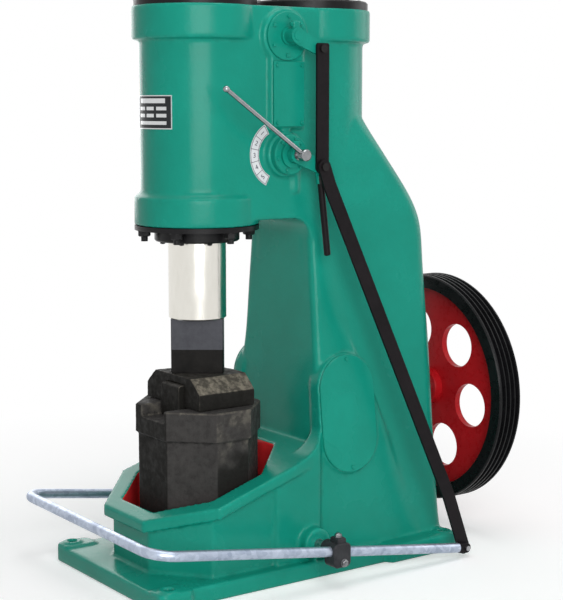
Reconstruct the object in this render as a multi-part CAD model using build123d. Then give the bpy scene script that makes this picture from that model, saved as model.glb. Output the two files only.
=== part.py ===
from build123d import *
import math
import os

# Air forging hammer in millimetres. +Z is up, the ram faces -Y, the valve side is +X.
# The origin is on the floor, under the axis of the ram.

# Base plate and its four feet
BASE_FRONT = -325
BASE_REAR = 770
BASE_HALF_WIDTH = 300
BASE_THICKNESS = 50
BASE_CORNER_R = 24
FOOT_HALF_WIDTH = 322
FRONT_FOOT_LENGTH = 112
REAR_FOOT_LENGTH = 280
FOOT_WIDTH = 84
FOOT_RISE = 6
ANCHOR_HOLE_R = 13
ANCHOR_INSET_X = 36
ANCHOR_INSET_Y = 42
ANCHOR_BOSS_R = 26
ANCHOR_BOSS_RISE = 6

# Upright column of the frame
COLUMN_FRONT = 298
COLUMN_REAR = 764
THROAT_TOP = 1063
THROAT_R = 60

# Cylinder block
CYLINDER_R = 165
CYLINDER_PITCH = 410
BLOCK_HALF_WIDTH = 165
HEAD_BOTTOM = 1047
HEAD_TOP = 1680
LOW_FLANGE_R = 184
LOW_FLANGE_HEIGHT = 86
TOP_FLANGE_R = 187
TOP_FLANGE_HEIGHT = 97
COVER_R = 180
COVER_THICKNESS = 26
COVER_EDGE = 5

# Ram, gland and dies
RAM_R = 86
RAM_FIT = 0.06
RAM_BORE_CLEARANCE = 1
RAM_END_CLEARANCE = 12
CYLINDER_CEILING = 43
STROKE = 225
DIE_GAP = 0.5
GLAND_PLATE_THICKNESS = 14
GLAND_RING_R = 126
GLAND_RING_HEIGHT = 34
DIE_LENGTH = 155
DIE_WIDTH = 76
DIE_TURN = 54
RAM_HEAD_HEIGHT = 92
UPPER_DIE_HEIGHT = 69.5

# Anvil block and the cap that carries the lower working face
ANVIL_HALF_WIDTH = 196
ANVIL_HALF_LENGTH = 168
ANVIL_CHAMFER = 109
ANVIL_HEIGHT = 465
ANVIL_STEP_HEIGHT = 88
ANVIL_STEP = 6
CAP_HALF_WIDTH = 150
CAP_FACE_HALF_WIDTH = 100
CAP_FRONT = -90
CAP_REAR = 105
CAP_WALL_HEIGHT = 48
CAP_HEIGHT = 91
KEY_X = 12
KEY_HALF_WIDTH = 50
KEY_HEIGHT = 66
KEY_DEPTH = 45
KEY_PROUD = 17
KEY_FIT = 0.3
KEYWAY_HALF_WIDTH = 64
KEYWAY_DEPTH = 36

# Heights that follow from the anvil and the head
ANVIL_TOP = BASE_THICKNESS + ANVIL_HEIGHT
CAP_TOP = ANVIL_TOP + CAP_HEIGHT
RAM_ROD_BOTTOM = CAP_TOP + DIE_GAP + UPPER_DIE_HEIGHT + RAM_HEAD_HEIGHT
BORE_TOP = HEAD_TOP - CYLINDER_CEILING
RAM_ROD_TOP = BORE_TOP - RAM_END_CLEARANCE - STROKE

# Octagonal collar round the anvil, its rim rising towards the column
POCKET_HALF_WIDTH = 209
POCKET_FRONT = -213
POCKET_REAR = 225
COLLAR_SLOPE = 0.32
COLLAR_FRONT_TOP = 227
RIM_DEPTH = 36
WALL_INSET = 26
RIM_HALF_WIDTH = 280
RIM_END_Y = 150
WALL_STEP_Y = 95
WALL_STEP = 13
WALL_END_Y = 258
RIB_START_Y = 190
RIB_TOP = 458

# Round and rectangular covers on the sides
SIDE_COVER_Y = 386
SIDE_COVER_Z = 470
SIDE_COVER_WIDTH = 204
SIDE_COVER_HEIGHT = 358
SIDE_COVER_THICKNESS = 8
SIDE_COVER_LEAN = 6.5
SIDE_PAD_HALF_WIDTH = 237

# Valves on the +X side
VALVE_Y = 196
LOW_VALVE_Z = 1253
UPPER_VALVE_Z = 1594
UPPER_BOSS_R = 79
UPPER_BOSS_PROUD = 16
UPPER_COVER_R = 70
UPPER_COVER_THICKNESS = 9
UPPER_HUB_R = 20
PORT_COVER_FRONT = 148
PORT_COVER_REAR = 257
PORT_COVER_BOTTOM = 1333
PORT_COVER_TOP = 1522
PORT_PAD_PROUD = 16
PORT_PAD_MARGIN = 6
PORT_COVER_THICKNESS = 8
LOW_BOSS_R = 66
LOW_BOSS_PROUD = 20
LOW_COVER_R = 58
LOW_COVER_THICKNESS = 22
LOW_HUB_R = 38
DRAIN_BOSS_R = 16
DRAIN_BOSS_Y = 42
DRAIN_BOSS_DROP = 112
SPINDLE_R = 14
SPINDLE_FIT = 0.06

# Levers between the treadle and the valves
LEVER_PLANE = 222
LEVER_THICKNESS = 10
LEVER_REACH_Y = 86
LEVER_DROP = 36
LEVER_HUB_R = 23
LEVER_EYE_R = 20
PIN_R = 8
PIN_FIT = 0.06
PLATE_GAP = 1.5
TIE_GAP = 5
PIN_HEAD_RISE = 4
TIE_END = 16
ROD_LOW_BEND = 180
ROD_HIGH_BEND = 60
TIE_THICKNESS = 8
TIE_WIDTH = 43
ROD_THICKNESS = 8
ROD_WIDTH = 43
ROD_EYE_CLEARANCE = 2.8
HAND_LEVER_R = 10
HAND_LEVER_LENGTH = 236
HAND_LEVER_LEAN = 6.7
HAND_LEVER_START = 29
SOCKET_WALL = 3.5
SOCKET_DEPTH = 20
SOCKET_CROWN = 4

# Index handle
HANDLE_ANGLE = 145
HANDLE_LENGTH = 326
HANDLE_R = 6.5
HANDLE_BALL_R = 9.5
HANDLE_HUB_R = 17
HANDLE_GAP = 14
HANDLE_HUB_LENGTH = 28
JOURNAL_R = 8
JOURNAL_LENGTH = 20

# Treadle
PIPE_R = 15
PIPE_WALL = 3.2
PIPE_BEND_R = 70
TREADLE_HALF_WIDTH = 400
TREADLE_FRONT = -390
PIVOT_Y = 225
PIVOT_Z = 107
ROD_PIN_Y = 727
ROD_PIN_Z = 30
LEFT_LEG_END = 275
STUB_R = 16
STUB_FIT = 0.06
STUB_BOSS_R = 46
STUB_BOSS_END = 306
CLAMP_LENGTH = 62
CLAMP_HEIGHT = 72
CLAMP_CORNER_R = 16
CLAMP_HALF_THICKNESS = 24
CLAMP_HUB_R = 25
CLAMP_HUB_LENGTH = 29.7
CLAMP_EAR_WIDTH = 30
CLAMP_EAR_RISE = 16

# Flywheel
WHEEL_Z = 460
WHEEL_R = 377
RIM_FRONT = 885
RIM_BACK = 975
RIM_DEPTH_R = 43
RIM_LIP_R = WHEEL_R - RIM_DEPTH_R
WEB_SEAT = 6
GROOVE_COUNT = 4
GROOVE_PITCH = 19
GROOVE_DEPTH = 14
WEB_FRONT = 920
WEB_THICKNESS = 21
WEB_HOLE_R = 71
WEB_HOLE_CIRCLE_R = 201
WEB_HOLES = 6
WEB_HOLE_START = 49.6
HUB_R = 62
HUB_FRONT = 892
HUB_BACK = 982
SHAFT_R = 38
SHAFT_FIT = 0.06
BEARING_R = 98
BEARING_THICKNESS = 22
BEARING_NOSE_R = 70
BEARING_NOSE_LENGTH = 36


# Shapes placed by their real limits

def block(x0, x1, y0, y1, z0, z1):
    return Pos(x0, y0, z0) * Box(x1 - x0, y1 - y0, z1 - z0, align=(Align.MIN, Align.MIN, Align.MIN))


def along_x(radius, x0, x1, y, z):
    rod = Cylinder(radius, x1 - x0, align=(Align.CENTER, Align.CENTER, Align.MIN))
    return Pos(x0, y, z) * Rot(0, 90, 0) * rod


def along_y(radius, x, y0, y1, z):
    rod = Cylinder(radius, y1 - y0, align=(Align.CENTER, Align.CENTER, Align.MIN))
    return Pos(x, y0, z) * Rot(-90, 0, 0) * rod


def along_z(radius, x, y, z0, z1):
    return Pos(x, y, z0) * Cylinder(radius, z1 - z0, align=(Align.CENTER, Align.CENTER, Align.MIN))


def plan(points):
    return make_face(Polyline(*points, close=True))


def side_slab(points, x0, x1):
    """A slab between two X planes with its outline given as (y, z) points."""
    return Pos(x0, 0, 0) * extrude(Plane.YZ * plan(points), x1 - x0)


# Frame casting

def base_plate():
    length = BASE_REAR - BASE_FRONT
    outline = Pos(0, BASE_FRONT + length / 2) * RectangleRounded(2 * BASE_HALF_WIDTH, length, BASE_CORNER_R)
    plate = extrude(outline, BASE_THICKNESS)
    plate = chamfer(plate.faces().sort_by(Axis.Z)[-1].edges(), 5)
    foot_x = FOOT_HALF_WIDTH - FOOT_WIDTH / 2
    for side in (-1, 1):
        front = RectangleRounded(FOOT_WIDTH, FRONT_FOOT_LENGTH, BASE_CORNER_R)
        front = Pos(side * foot_x, BASE_FRONT + FRONT_FOOT_LENGTH / 2) * front
        rear = RectangleRounded(FOOT_WIDTH, REAR_FOOT_LENGTH, BASE_CORNER_R)
        rear = Pos(side * foot_x, BASE_REAR - REAR_FOOT_LENGTH / 2) * rear
        for outline in (front, rear):
            foot = extrude(outline, BASE_THICKNESS + FOOT_RISE)
            plate += chamfer(foot.faces().sort_by(Axis.Z)[-1].edges(), 6)
    for x, y in anchor_points():
        plate += along_z(ANCHOR_BOSS_R, x, y, 0, BASE_THICKNESS + FOOT_RISE + ANCHOR_BOSS_RISE)
    return plate


def anchor_points():
    x = FOOT_HALF_WIDTH - ANCHOR_INSET_X
    return [(side * x, y) for side in (-1, 1) for y in (BASE_FRONT + ANCHOR_INSET_Y, BASE_REAR - ANCHOR_INSET_Y)]


def upright_core():
    """Crankcase: straight in front, flaring at the foot, its back an S-curve up to the rear cylinder."""
    sections = [
        (BASE_THICKNESS - 5, 262, -2, 40),
        (110, 250, 0, 40),
        (250, 233, 0, 40),
        (450, 214, 0, 42),
        (650, 195, 0, 45),
        (820, 176, 0, 50),
        (940, 166, 0, 55),
        (1040, 164.5, 12, 60),
        (1110, 164.5, 48, 60),
        (1190, 164.5, 109, 60),
        (1260, 164.5, 164, 64),
        (1330, 160, 210, 78),
        (1400, 150, 240, 92),
        (1470, 140, 264, 96),
    ]
    faces = []
    for z, half_width, setback, corner in sections:
        depth = COLUMN_REAR - setback - COLUMN_FRONT
        outline = RectangleRounded(2 * half_width, depth, corner)
        faces.append(Pos(0, COLUMN_FRONT + depth / 2, z) * outline)
    return loft(faces)


def upright_buttress():
    """Raised front part of both side walls, its rear edge running down and back."""
    sections = [
        (BASE_THICKNESS - 5, 264, 279, 680),
        (110, 254, 279, 654),
        (220, 247, 279, 610),
        (330, 243, 280, 572),
        (430, 237, 282, 536),
        (530, 224, 287, 500),
        (630, 204, 294, 462),
        (750, 189, 297, 418),
        (930, 172, 299, 382),
        (1060, 166, 299, 368),
        (1180, 164, 299, 362),
    ]
    faces = []
    for z, half_width, front, rear in sections:
        depth = rear - front
        faces.append(Pos(0, front + depth / 2, z) * RectangleRounded(2 * half_width, depth, 22))
    return loft(faces)


def throat_gusset():
    """Round inner corner between the column and the underside of the head."""
    front = COLUMN_FRONT + 20
    low = THROAT_TOP - THROAT_R
    arc_start = (COLUMN_FRONT, low)
    arc_end = (COLUMN_FRONT - THROAT_R, THROAT_TOP)
    middle = THROAT_R * (1 - math.sqrt(0.5))
    arc_middle = (COLUMN_FRONT - middle, THROAT_TOP - middle)
    outline = Polyline(arc_end, (arc_end[0], THROAT_TOP + 10), (front, THROAT_TOP + 10), (front, low), arc_start)
    corner = make_face(outline + ThreePointArc(arc_start, arc_middle, arc_end))
    return extrude(Plane.YZ * corner, BLOCK_HALF_WIDTH - 1, both=True)


def turned_cylinder(bottom, low_flange):
    """Outside of one cylinder with its flanges, round +Z."""
    top_flange = HEAD_TOP - TOP_FLANGE_HEIGHT
    points = [(0, bottom)]
    if low_flange:
        points += [(LOW_FLANGE_R - 3, bottom), (LOW_FLANGE_R, bottom + 3)]
        points += [(LOW_FLANGE_R, bottom + LOW_FLANGE_HEIGHT - 4), (LOW_FLANGE_R - 4, bottom + LOW_FLANGE_HEIGHT)]
        points += [(CYLINDER_R + 8, bottom + LOW_FLANGE_HEIGHT + 3), (CYLINDER_R, bottom + LOW_FLANGE_HEIGHT + 14)]
    else:
        points += [(CYLINDER_R, bottom)]
    points += [(CYLINDER_R, top_flange - 4), (CYLINDER_R + 4, top_flange), (TOP_FLANGE_R - 5, top_flange)]
    points += [(TOP_FLANGE_R, top_flange + 5), (TOP_FLANGE_R, HEAD_TOP - 2), (TOP_FLANGE_R - 2, HEAD_TOP)]
    points += [(0, HEAD_TOP)]
    return revolve(Plane.XZ * plan(points), Axis.Z)


def cylinder_head():
    head = turned_cylinder(HEAD_BOTTOM, True)
    head += Pos(0, CYLINDER_PITCH, 0) * turned_cylinder(THROAT_TOP, False)
    head += block(-BLOCK_HALF_WIDTH, BLOCK_HALF_WIDTH, 0, CYLINDER_PITCH, THROAT_TOP, HEAD_TOP)
    return head


def valve_pads():
    """Cast pads and bosses that the valve covers are bolted to."""
    inside = BLOCK_HALF_WIDTH - 15
    upper_face = BLOCK_HALF_WIDTH + UPPER_BOSS_PROUD
    pads = along_x(UPPER_BOSS_R, inside, upper_face, VALVE_Y, UPPER_VALVE_Z)
    port = block(inside, BLOCK_HALF_WIDTH + PORT_PAD_PROUD, PORT_COVER_FRONT - PORT_PAD_MARGIN,
                 PORT_COVER_REAR + PORT_PAD_MARGIN, PORT_COVER_BOTTOM - PORT_PAD_MARGIN, UPPER_VALVE_Z)
    pads += chamfer(port.faces().sort_by(Axis.X)[-1].edges(), 4)
    pads += along_x(LOW_BOSS_R, inside, BLOCK_HALF_WIDTH + LOW_BOSS_PROUD, VALVE_Y, LOW_VALVE_Z)
    boss = along_z(DRAIN_BOSS_R, BLOCK_HALF_WIDTH - 5, VALVE_Y + DRAIN_BOSS_Y, LOW_VALVE_Z - DRAIN_BOSS_DROP,
                   LOW_VALVE_Z)
    pads += chamfer(boss.faces().sort_by(Axis.Z)[0].edges(), 3)
    return pads


def frame_casting():
    frame = base_plate()
    frame += upright_core()
    frame += upright_buttress()
    frame += cylinder_head()
    frame += throat_gusset()
    frame += valve_pads()
    frame += anvil_collar()
    for side in (-1, 1):
        frame += side_pad(side)
        boss = along_x(STUB_BOSS_R, 200, STUB_BOSS_END, PIVOT_Y, PIVOT_Z)
        frame += boss if side > 0 else mirror(boss, Plane.YZ)
    frame += along_y(BEARING_R, 0, COLUMN_REAR - 40, COLUMN_REAR + 12, WHEEL_Z)
    frame -= along_z(RAM_R + RAM_BORE_CLEARANCE, 0, 0, HEAD_BOTTOM - 1, BORE_TOP)
    for x, y in anchor_points():
        frame -= along_z(ANCHOR_HOLE_R, x, y, -1, 100)
    return frame


def side_pad(side):
    """Obround pad cast on the leaning side wall."""
    disc = Rot(0, 0, 90) * SlotOverall(SIDE_COVER_HEIGHT + 8, SIDE_COVER_WIDTH + 8)
    pad = extrude(disc, -46)
    return side_cover_place(side) * pad


def side_cover_place(side):
    """Outer face of the pad: local X runs up the wall's lean, local Z points outwards."""
    lean = SIDE_COVER_LEAN
    out = Vector(side * math.cos(math.radians(lean)), 0, math.sin(math.radians(lean)))
    plane = Plane(origin=(side * SIDE_PAD_HALF_WIDTH, SIDE_COVER_Y, SIDE_COVER_Z), x_dir=(0, 1, 0), z_dir=out)
    return plane.location


def side_cover(side):
    disc = Rot(0, 0, 90) * SlotOverall(SIDE_COVER_HEIGHT, SIDE_COVER_WIDTH)
    cover = extrude(disc, SIDE_COVER_THICKNESS)
    cover = chamfer(cover.faces().sort_by(Axis.Z)[-1].edges(), 2.5)
    return side_cover_place(side) * cover


# Collar round the anvil

def pocket_outline():
    front_corner = 89
    rear_corner = 75
    half = [
        (front_corner, POCKET_FRONT), (POCKET_HALF_WIDTH, -91),
        (POCKET_HALF_WIDTH, 85), (rear_corner, POCKET_REAR),
    ]
    return half + [(-x, y) for x, y in reversed(half)]


def rim_outline():
    front_corner = 115
    half = [(front_corner, POCKET_FRONT - 52), (RIM_HALF_WIDTH, -105), (RIM_HALF_WIDTH, RIM_END_Y),
            (RIM_HALF_WIDTH - 16, WALL_END_Y), (225, COLUMN_FRONT)]
    return half + [(-x, y) for x, y in reversed(half)]


def wall_outline():
    front = POCKET_FRONT - 52 + WALL_INSET
    wide = RIM_HALF_WIDTH - WALL_INSET
    stepped = wide + WALL_STEP
    half = [(104, front), (wide, -112), (wide, WALL_STEP_Y), (stepped, WALL_STEP_Y + 8),
            (stepped, WALL_END_Y), (228, COLUMN_FRONT)]
    return half + [(-x, y) for x, y in reversed(half)]


def collar_top(y):
    return COLLAR_FRONT_TOP + COLLAR_SLOPE * (y - POCKET_FRONT)


def anvil_collar():
    """Octagonal wall round the anvil with its sloping rim, and the ribs up to the column."""
    tall = RIB_TOP + 60
    rim = extrude(plan(rim_outline()), tall)
    wall = extrude(plan(wall_outline()), tall)
    far = POCKET_FRONT - 200
    rear = COLUMN_FRONT + 40
    reach = RIM_HALF_WIDTH + 40
    layer = [(far, collar_top(far) - RIM_DEPTH), (rear, collar_top(rear) - RIM_DEPTH),
             (rear, collar_top(rear)), (far, collar_top(far))]
    below = [(far, BASE_THICKNESS - 5), (rear, BASE_THICKNESS - 5),
             (rear, collar_top(rear) - 2), (far, collar_top(far) - 2)]
    collar = rim & side_slab(layer, -reach, reach)
    collar += wall & side_slab(below, -reach, reach)
    collar += rim & collar_ribs(reach)
    return collar - Pos(0, 0, BASE_THICKNESS) * extrude(plan(pocket_outline()), tall)


def collar_ribs(reach):
    """Hollow curve that lifts the rim into the front edges of the column."""
    start = (RIB_START_Y, collar_top(RIB_START_Y))
    end = (COLUMN_FRONT - 10, RIB_TOP)
    middle = (end[0] - 34, (start[1] + end[1]) / 2 - 13)
    back = COLUMN_FRONT + 20
    edges = ThreePointArc(start, middle, end)
    edges += Polyline(end, (back, RIB_TOP), (back, 340), (RIB_START_Y, 340), start)
    slab = extrude(Plane.YZ * make_face(edges), reach, both=True)
    inner = POCKET_HALF_WIDTH - 14
    return slab - block(-inner, inner, RIB_START_Y - 1, back + 1, 0, RIB_TOP + 1)


SPINDLE_END = LEVER_PLANE + LEVER_THICKNESS + 10
HANDLE_START = SPINDLE_END + HANDLE_GAP
HANDLE_PLANE = HANDLE_START + HANDLE_HUB_LENGTH / 2


# Covers, gland and valves

def top_cover(y):
    disc = along_z(COVER_R, 0, y, HEAD_TOP, HEAD_TOP + COVER_THICKNESS)
    return chamfer(disc.faces().sort_by(Axis.Z)[-1].edges(), COVER_EDGE)


def gland_plate():
    low = HEAD_BOTTOM - GLAND_PLATE_THICKNESS
    plate = along_z(LOW_FLANGE_R, 0, 0, low, HEAD_BOTTOM)
    return plate - along_z(RAM_R + RAM_BORE_CLEARANCE, 0, 0, low, HEAD_BOTTOM)


def gland_ring():
    top = HEAD_BOTTOM - GLAND_PLATE_THICKNESS
    low = top - GLAND_RING_HEIGHT
    ring = along_z(GLAND_RING_R, 0, 0, low, top)
    ring = chamfer(ring.faces().sort_by(Axis.Z)[0].edges(), 4)
    return ring - along_z(RAM_R + RAM_FIT, 0, 0, low, top)


def upper_valve_cover():
    start = BLOCK_HALF_WIDTH + UPPER_BOSS_PROUD
    face = start + UPPER_COVER_THICKNESS
    cover = along_x(UPPER_COVER_R, start, face, VALVE_Y, UPPER_VALVE_Z)
    cover = chamfer(cover.faces().sort_by(Axis.X)[-1].edges(), 2)
    cover += along_x(UPPER_HUB_R + 6, face, face + 8, VALVE_Y, UPPER_VALVE_Z)
    cover += along_x(UPPER_HUB_R, face + 8, LEVER_PLANE - 6, VALVE_Y, UPPER_VALVE_Z)
    return cover - along_x(SPINDLE_R, start, LEVER_PLANE, VALVE_Y, UPPER_VALVE_Z)


def port_cover():
    start = BLOCK_HALF_WIDTH + PORT_PAD_PROUD
    plate = block(start, start + PORT_COVER_THICKNESS, PORT_COVER_FRONT, PORT_COVER_REAR,
                  PORT_COVER_BOTTOM, PORT_COVER_TOP)
    plate = fillet(plate.edges().filter_by(Axis.X), 6)
    return chamfer(plate.faces().sort_by(Axis.X)[-1].edges(), 2)


def low_valve_cover():
    start = BLOCK_HALF_WIDTH + LOW_BOSS_PROUD
    face = start + LOW_COVER_THICKNESS
    cover = along_x(LOW_COVER_R, start, face, VALVE_Y, LOW_VALVE_Z)
    cover = chamfer(cover.faces().sort_by(Axis.X)[-1].edges(), 3)
    cover += along_x(LOW_HUB_R, face, LEVER_PLANE - 6, VALVE_Y, LOW_VALVE_Z)
    return cover - along_x(SPINDLE_R, start, LEVER_PLANE, VALVE_Y, LOW_VALVE_Z)


def spindle(z):
    return along_x(SPINDLE_R, BLOCK_HALF_WIDTH + LOW_BOSS_PROUD, SPINDLE_END, VALVE_Y, z)


def low_spindle():
    """Spindle of the lower valve with the thinner journal of the index handle."""
    return spindle(LOW_VALVE_Z) + along_x(JOURNAL_R, SPINDLE_END, HANDLE_START + JOURNAL_LENGTH, VALVE_Y, LOW_VALVE_Z)


# Ram

def ram_rod():
    rod = along_z(RAM_R, 0, 0, RAM_ROD_BOTTOM, RAM_ROD_TOP)
    return chamfer(rod.edges().filter_by(GeomType.CIRCLE), 4)


def turned_block(z0, z1, edge):
    body = Box(DIE_LENGTH, DIE_WIDTH, z1 - z0, align=(Align.CENTER, Align.CENTER, Align.MIN))
    body = chamfer(body.edges().filter_by(Axis.Z), edge)
    return Pos(0, 0, z0) * Rot(0, 0, DIE_TURN) * body


def ram_head():
    return turned_block(RAM_ROD_BOTTOM - RAM_HEAD_HEIGHT, RAM_ROD_BOTTOM, 2)


def upper_die():
    top = RAM_ROD_BOTTOM - RAM_HEAD_HEIGHT
    return turned_block(top - UPPER_DIE_HEIGHT, top, 3)


# Anvil

def octagon(half_width, half_length, corner):
    half = [(half_width - corner, -half_length), (half_width, corner - half_length),
            (half_width, half_length - corner), (half_width - corner, half_length)]
    return plan(half + [(-x, y) for x, y in reversed(half)])


def anvil_block():
    """Octagonal block with a wider head, and the keyway in the front of its top."""
    top = ANVIL_TOP
    step = top - ANVIL_STEP_HEIGHT
    lower = octagon(ANVIL_HALF_WIDTH - ANVIL_STEP, ANVIL_HALF_LENGTH - ANVIL_STEP, ANVIL_CHAMFER)
    upper = octagon(ANVIL_HALF_WIDTH, ANVIL_HALF_LENGTH, ANVIL_CHAMFER)
    block_body = Pos(0, 0, BASE_THICKNESS) * extrude(lower, step - BASE_THICKNESS)
    head = Pos(0, 0, step) * extrude(upper, top - step)
    head = chamfer(head.faces().sort_by(Axis.Z)[-1].edges(), 5)
    keyway = block(KEY_X - KEYWAY_HALF_WIDTH, KEY_X + KEYWAY_HALF_WIDTH, -ANVIL_HALF_LENGTH - 1,
                   CAP_FRONT + KEY_DEPTH, top - KEYWAY_DEPTH, top + 1)
    return block_body + head - keyway


def anvil_cap():
    z0 = ANVIL_TOP
    shoulder = z0 + CAP_WALL_HEIGHT
    top = CAP_TOP
    outline = [(-CAP_HALF_WIDTH, z0), (CAP_HALF_WIDTH, z0), (CAP_HALF_WIDTH, shoulder),
               (CAP_FACE_HALF_WIDTH, top), (-CAP_FACE_HALF_WIDTH, top), (-CAP_HALF_WIDTH, shoulder)]
    cap = Pos(0, CAP_REAR, 0) * extrude(Plane.XZ * plan(outline), CAP_REAR - CAP_FRONT)
    recess = block(KEY_X - KEY_HALF_WIDTH, KEY_X + KEY_HALF_WIDTH, CAP_FRONT - 1, CAP_FRONT + KEY_DEPTH,
                   z0, z0 + KEY_HEIGHT)
    return cap - recess


def anvil_key():
    """Key that stands in the keyway and locks the cap, its front end rounded over."""
    half = KEY_HALF_WIDTH - KEY_FIT
    key = block(KEY_X - half, KEY_X + half, CAP_FRONT - KEY_PROUD, CAP_FRONT + KEY_DEPTH - KEY_FIT,
                ANVIL_TOP - KEYWAY_DEPTH, ANVIL_TOP + KEY_HEIGHT - KEY_FIT)
    front_top = key.edges().filter_by(Axis.X).sort_by(Axis.Y)[:2].sort_by(Axis.Z)[-1]
    return fillet(front_top, 12)


# Flywheel on the end of the crankshaft

def flywheel_rim():
    mid = (RIM_FRONT + RIM_BACK) / 2
    first = mid - (GROOVE_COUNT - 1) / 2 * GROOVE_PITCH
    outer = [(WHEEL_R - 4, RIM_FRONT), (WHEEL_R, RIM_FRONT + 4)]
    for number in range(GROOVE_COUNT):
        y = first + number * GROOVE_PITCH
        outer += [(WHEEL_R, y - 7.5), (WHEEL_R - GROOVE_DEPTH, y - 3), (WHEEL_R - GROOVE_DEPTH, y + 3), (WHEEL_R, y + 7.5)]
    outer += [(WHEEL_R, RIM_BACK - 4), (WHEEL_R - 4, RIM_BACK)]
    web_back = WEB_FRONT + WEB_THICKNESS
    inner = [(RIM_LIP_R, RIM_BACK), (RIM_LIP_R - WEB_SEAT, web_back), (RIM_LIP_R - WEB_SEAT, WEB_FRONT), (RIM_LIP_R, RIM_FRONT)]
    profile = Plane.XY * plan(outer + inner)
    return Pos(0, 0, WHEEL_Z) * revolve(profile, Axis.Y)


def flywheel_web():
    outer = RIM_LIP_R - WEB_SEAT
    web = along_y(outer, 0, WEB_FRONT, WEB_FRONT + WEB_THICKNESS, WHEEL_Z)
    web -= along_y(HUB_R, 0, WEB_FRONT, WEB_FRONT + WEB_THICKNESS, WHEEL_Z)
    for number in range(WEB_HOLES):
        angle = math.radians(WEB_HOLE_START + number * 360 / WEB_HOLES)
        x = WEB_HOLE_CIRCLE_R * math.cos(angle)
        z = WHEEL_Z + WEB_HOLE_CIRCLE_R * math.sin(angle)
        web -= along_y(WEB_HOLE_R, x, WEB_FRONT, WEB_FRONT + WEB_THICKNESS, z)
    return web


def flywheel_hub():
    hub = along_y(HUB_R, 0, HUB_FRONT, HUB_BACK, WHEEL_Z)
    hub = chamfer(hub.edges().filter_by(GeomType.CIRCLE), 4)
    return hub - along_y(SHAFT_R, 0, HUB_FRONT, HUB_BACK, WHEEL_Z)


def crankshaft():
    shaft = along_y(SHAFT_R, 0, COLUMN_REAR + 14, HUB_BACK + 10, WHEEL_Z)
    return chamfer(shaft.faces().sort_by(Axis.Y)[-1].edges(), 3)


def rear_bearing():
    start = COLUMN_REAR + 12
    face = start + BEARING_THICKNESS
    housing = along_y(BEARING_R, 0, start, face, WHEEL_Z)
    housing = chamfer(housing.faces().sort_by(Axis.Y)[-1].edges(), 3)
    housing += along_y(BEARING_NOSE_R, 0, face, face + BEARING_NOSE_LENGTH, WHEEL_Z)
    return housing - along_y(SHAFT_R + SHAFT_FIT, 0, start, face + BEARING_NOSE_LENGTH, WHEEL_Z)


# Treadle

TREADLE_SLOPE = (PIVOT_Z - ROD_PIN_Z) / (ROD_PIN_Y - PIVOT_Y)


def pipe_z(y):
    return PIVOT_Z - TREADLE_SLOPE * (y - PIVOT_Y)


def pipe_point(x, y):
    return (x, y, pipe_z(y))


def treadle_pipe():
    route = FilletPolyline(
        pipe_point(TREADLE_HALF_WIDTH, ROD_PIN_Y - 34), pipe_point(TREADLE_HALF_WIDTH, TREADLE_FRONT),
        pipe_point(-TREADLE_HALF_WIDTH, TREADLE_FRONT), pipe_point(-TREADLE_HALF_WIDTH, LEFT_LEG_END),
        radius=PIPE_BEND_R)
    section = Plane(origin=route @ 0, z_dir=route % 0)
    pipe = sweep(section * (Circle(PIPE_R) - Circle(PIPE_R - PIPE_WALL)), route)
    return pipe


def treadle_eye():
    """Flattened end of the long leg with the hole for the rod pin."""
    start = pipe_point(TREADLE_HALF_WIDTH, ROD_PIN_Y - 34)
    reach = math.hypot(34, start[2] - ROD_PIN_Z)
    flat = Box(12, reach, 2 * PIPE_R, align=(Align.CENTER, Align.MIN, Align.CENTER))
    tilt = -math.degrees(math.atan(TREADLE_SLOPE))
    eye = Pos(*start) * Rot(tilt, 0, 0) * flat
    x0 = TREADLE_HALF_WIDTH - 6
    eye += along_x(PIPE_R, x0, x0 + 12, ROD_PIN_Y, ROD_PIN_Z)
    return eye - along_x(PIN_R, x0, x0 + 12, ROD_PIN_Y, ROD_PIN_Z)


def treadle_clamp():
    x0 = TREADLE_HALF_WIDTH - CLAMP_HALF_THICKNESS
    x1 = TREADLE_HALF_WIDTH + CLAMP_HALF_THICKNESS
    body = block(x0, x1, PIVOT_Y - CLAMP_LENGTH / 2, PIVOT_Y + CLAMP_LENGTH / 2,
                 PIVOT_Z - CLAMP_HEIGHT * 0.6, PIVOT_Z + CLAMP_HEIGHT * 0.4)
    body = fillet(body.edges().filter_by(Axis.X), CLAMP_CORNER_R)
    body = chamfer(body.faces().sort_by(Axis.X)[-1].edges(), 4)
    ear = block(x0 + 6, x1 - 6, PIVOT_Y - CLAMP_EAR_WIDTH / 2, PIVOT_Y + CLAMP_EAR_WIDTH / 2,
                PIVOT_Z, PIVOT_Z + CLAMP_HEIGHT * 0.4 + CLAMP_EAR_RISE)
    body += chamfer(ear.faces().sort_by(Axis.Z)[-1].edges(), 4)
    hub_start = x0 - CLAMP_HUB_LENGTH
    body += along_x(CLAMP_HUB_R, hub_start, x0 + 1, PIVOT_Y, PIVOT_Z)
    body -= along_x(STUB_R + STUB_FIT, hub_start, x0 + 4, PIVOT_Y, PIVOT_Z)
    axis_low = Vector(*pipe_point(TREADLE_HALF_WIDTH, PIVOT_Y - CLAMP_LENGTH))
    axis_high = Vector(*pipe_point(TREADLE_HALF_WIDTH, PIVOT_Y + CLAMP_LENGTH))
    run = Plane(origin=axis_low, z_dir=axis_high - axis_low)
    hole = extrude(run * Circle(PIPE_R + 0.1), (axis_high - axis_low).length)
    return body - hole


def treadle_stub():
    """Fixed stub shaft that the treadle turns on."""
    return along_x(STUB_R, STUB_BOSS_END, TREADLE_HALF_WIDTH - CLAMP_HALF_THICKNESS, PIVOT_Y, PIVOT_Z)


# Valve linkage

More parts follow.
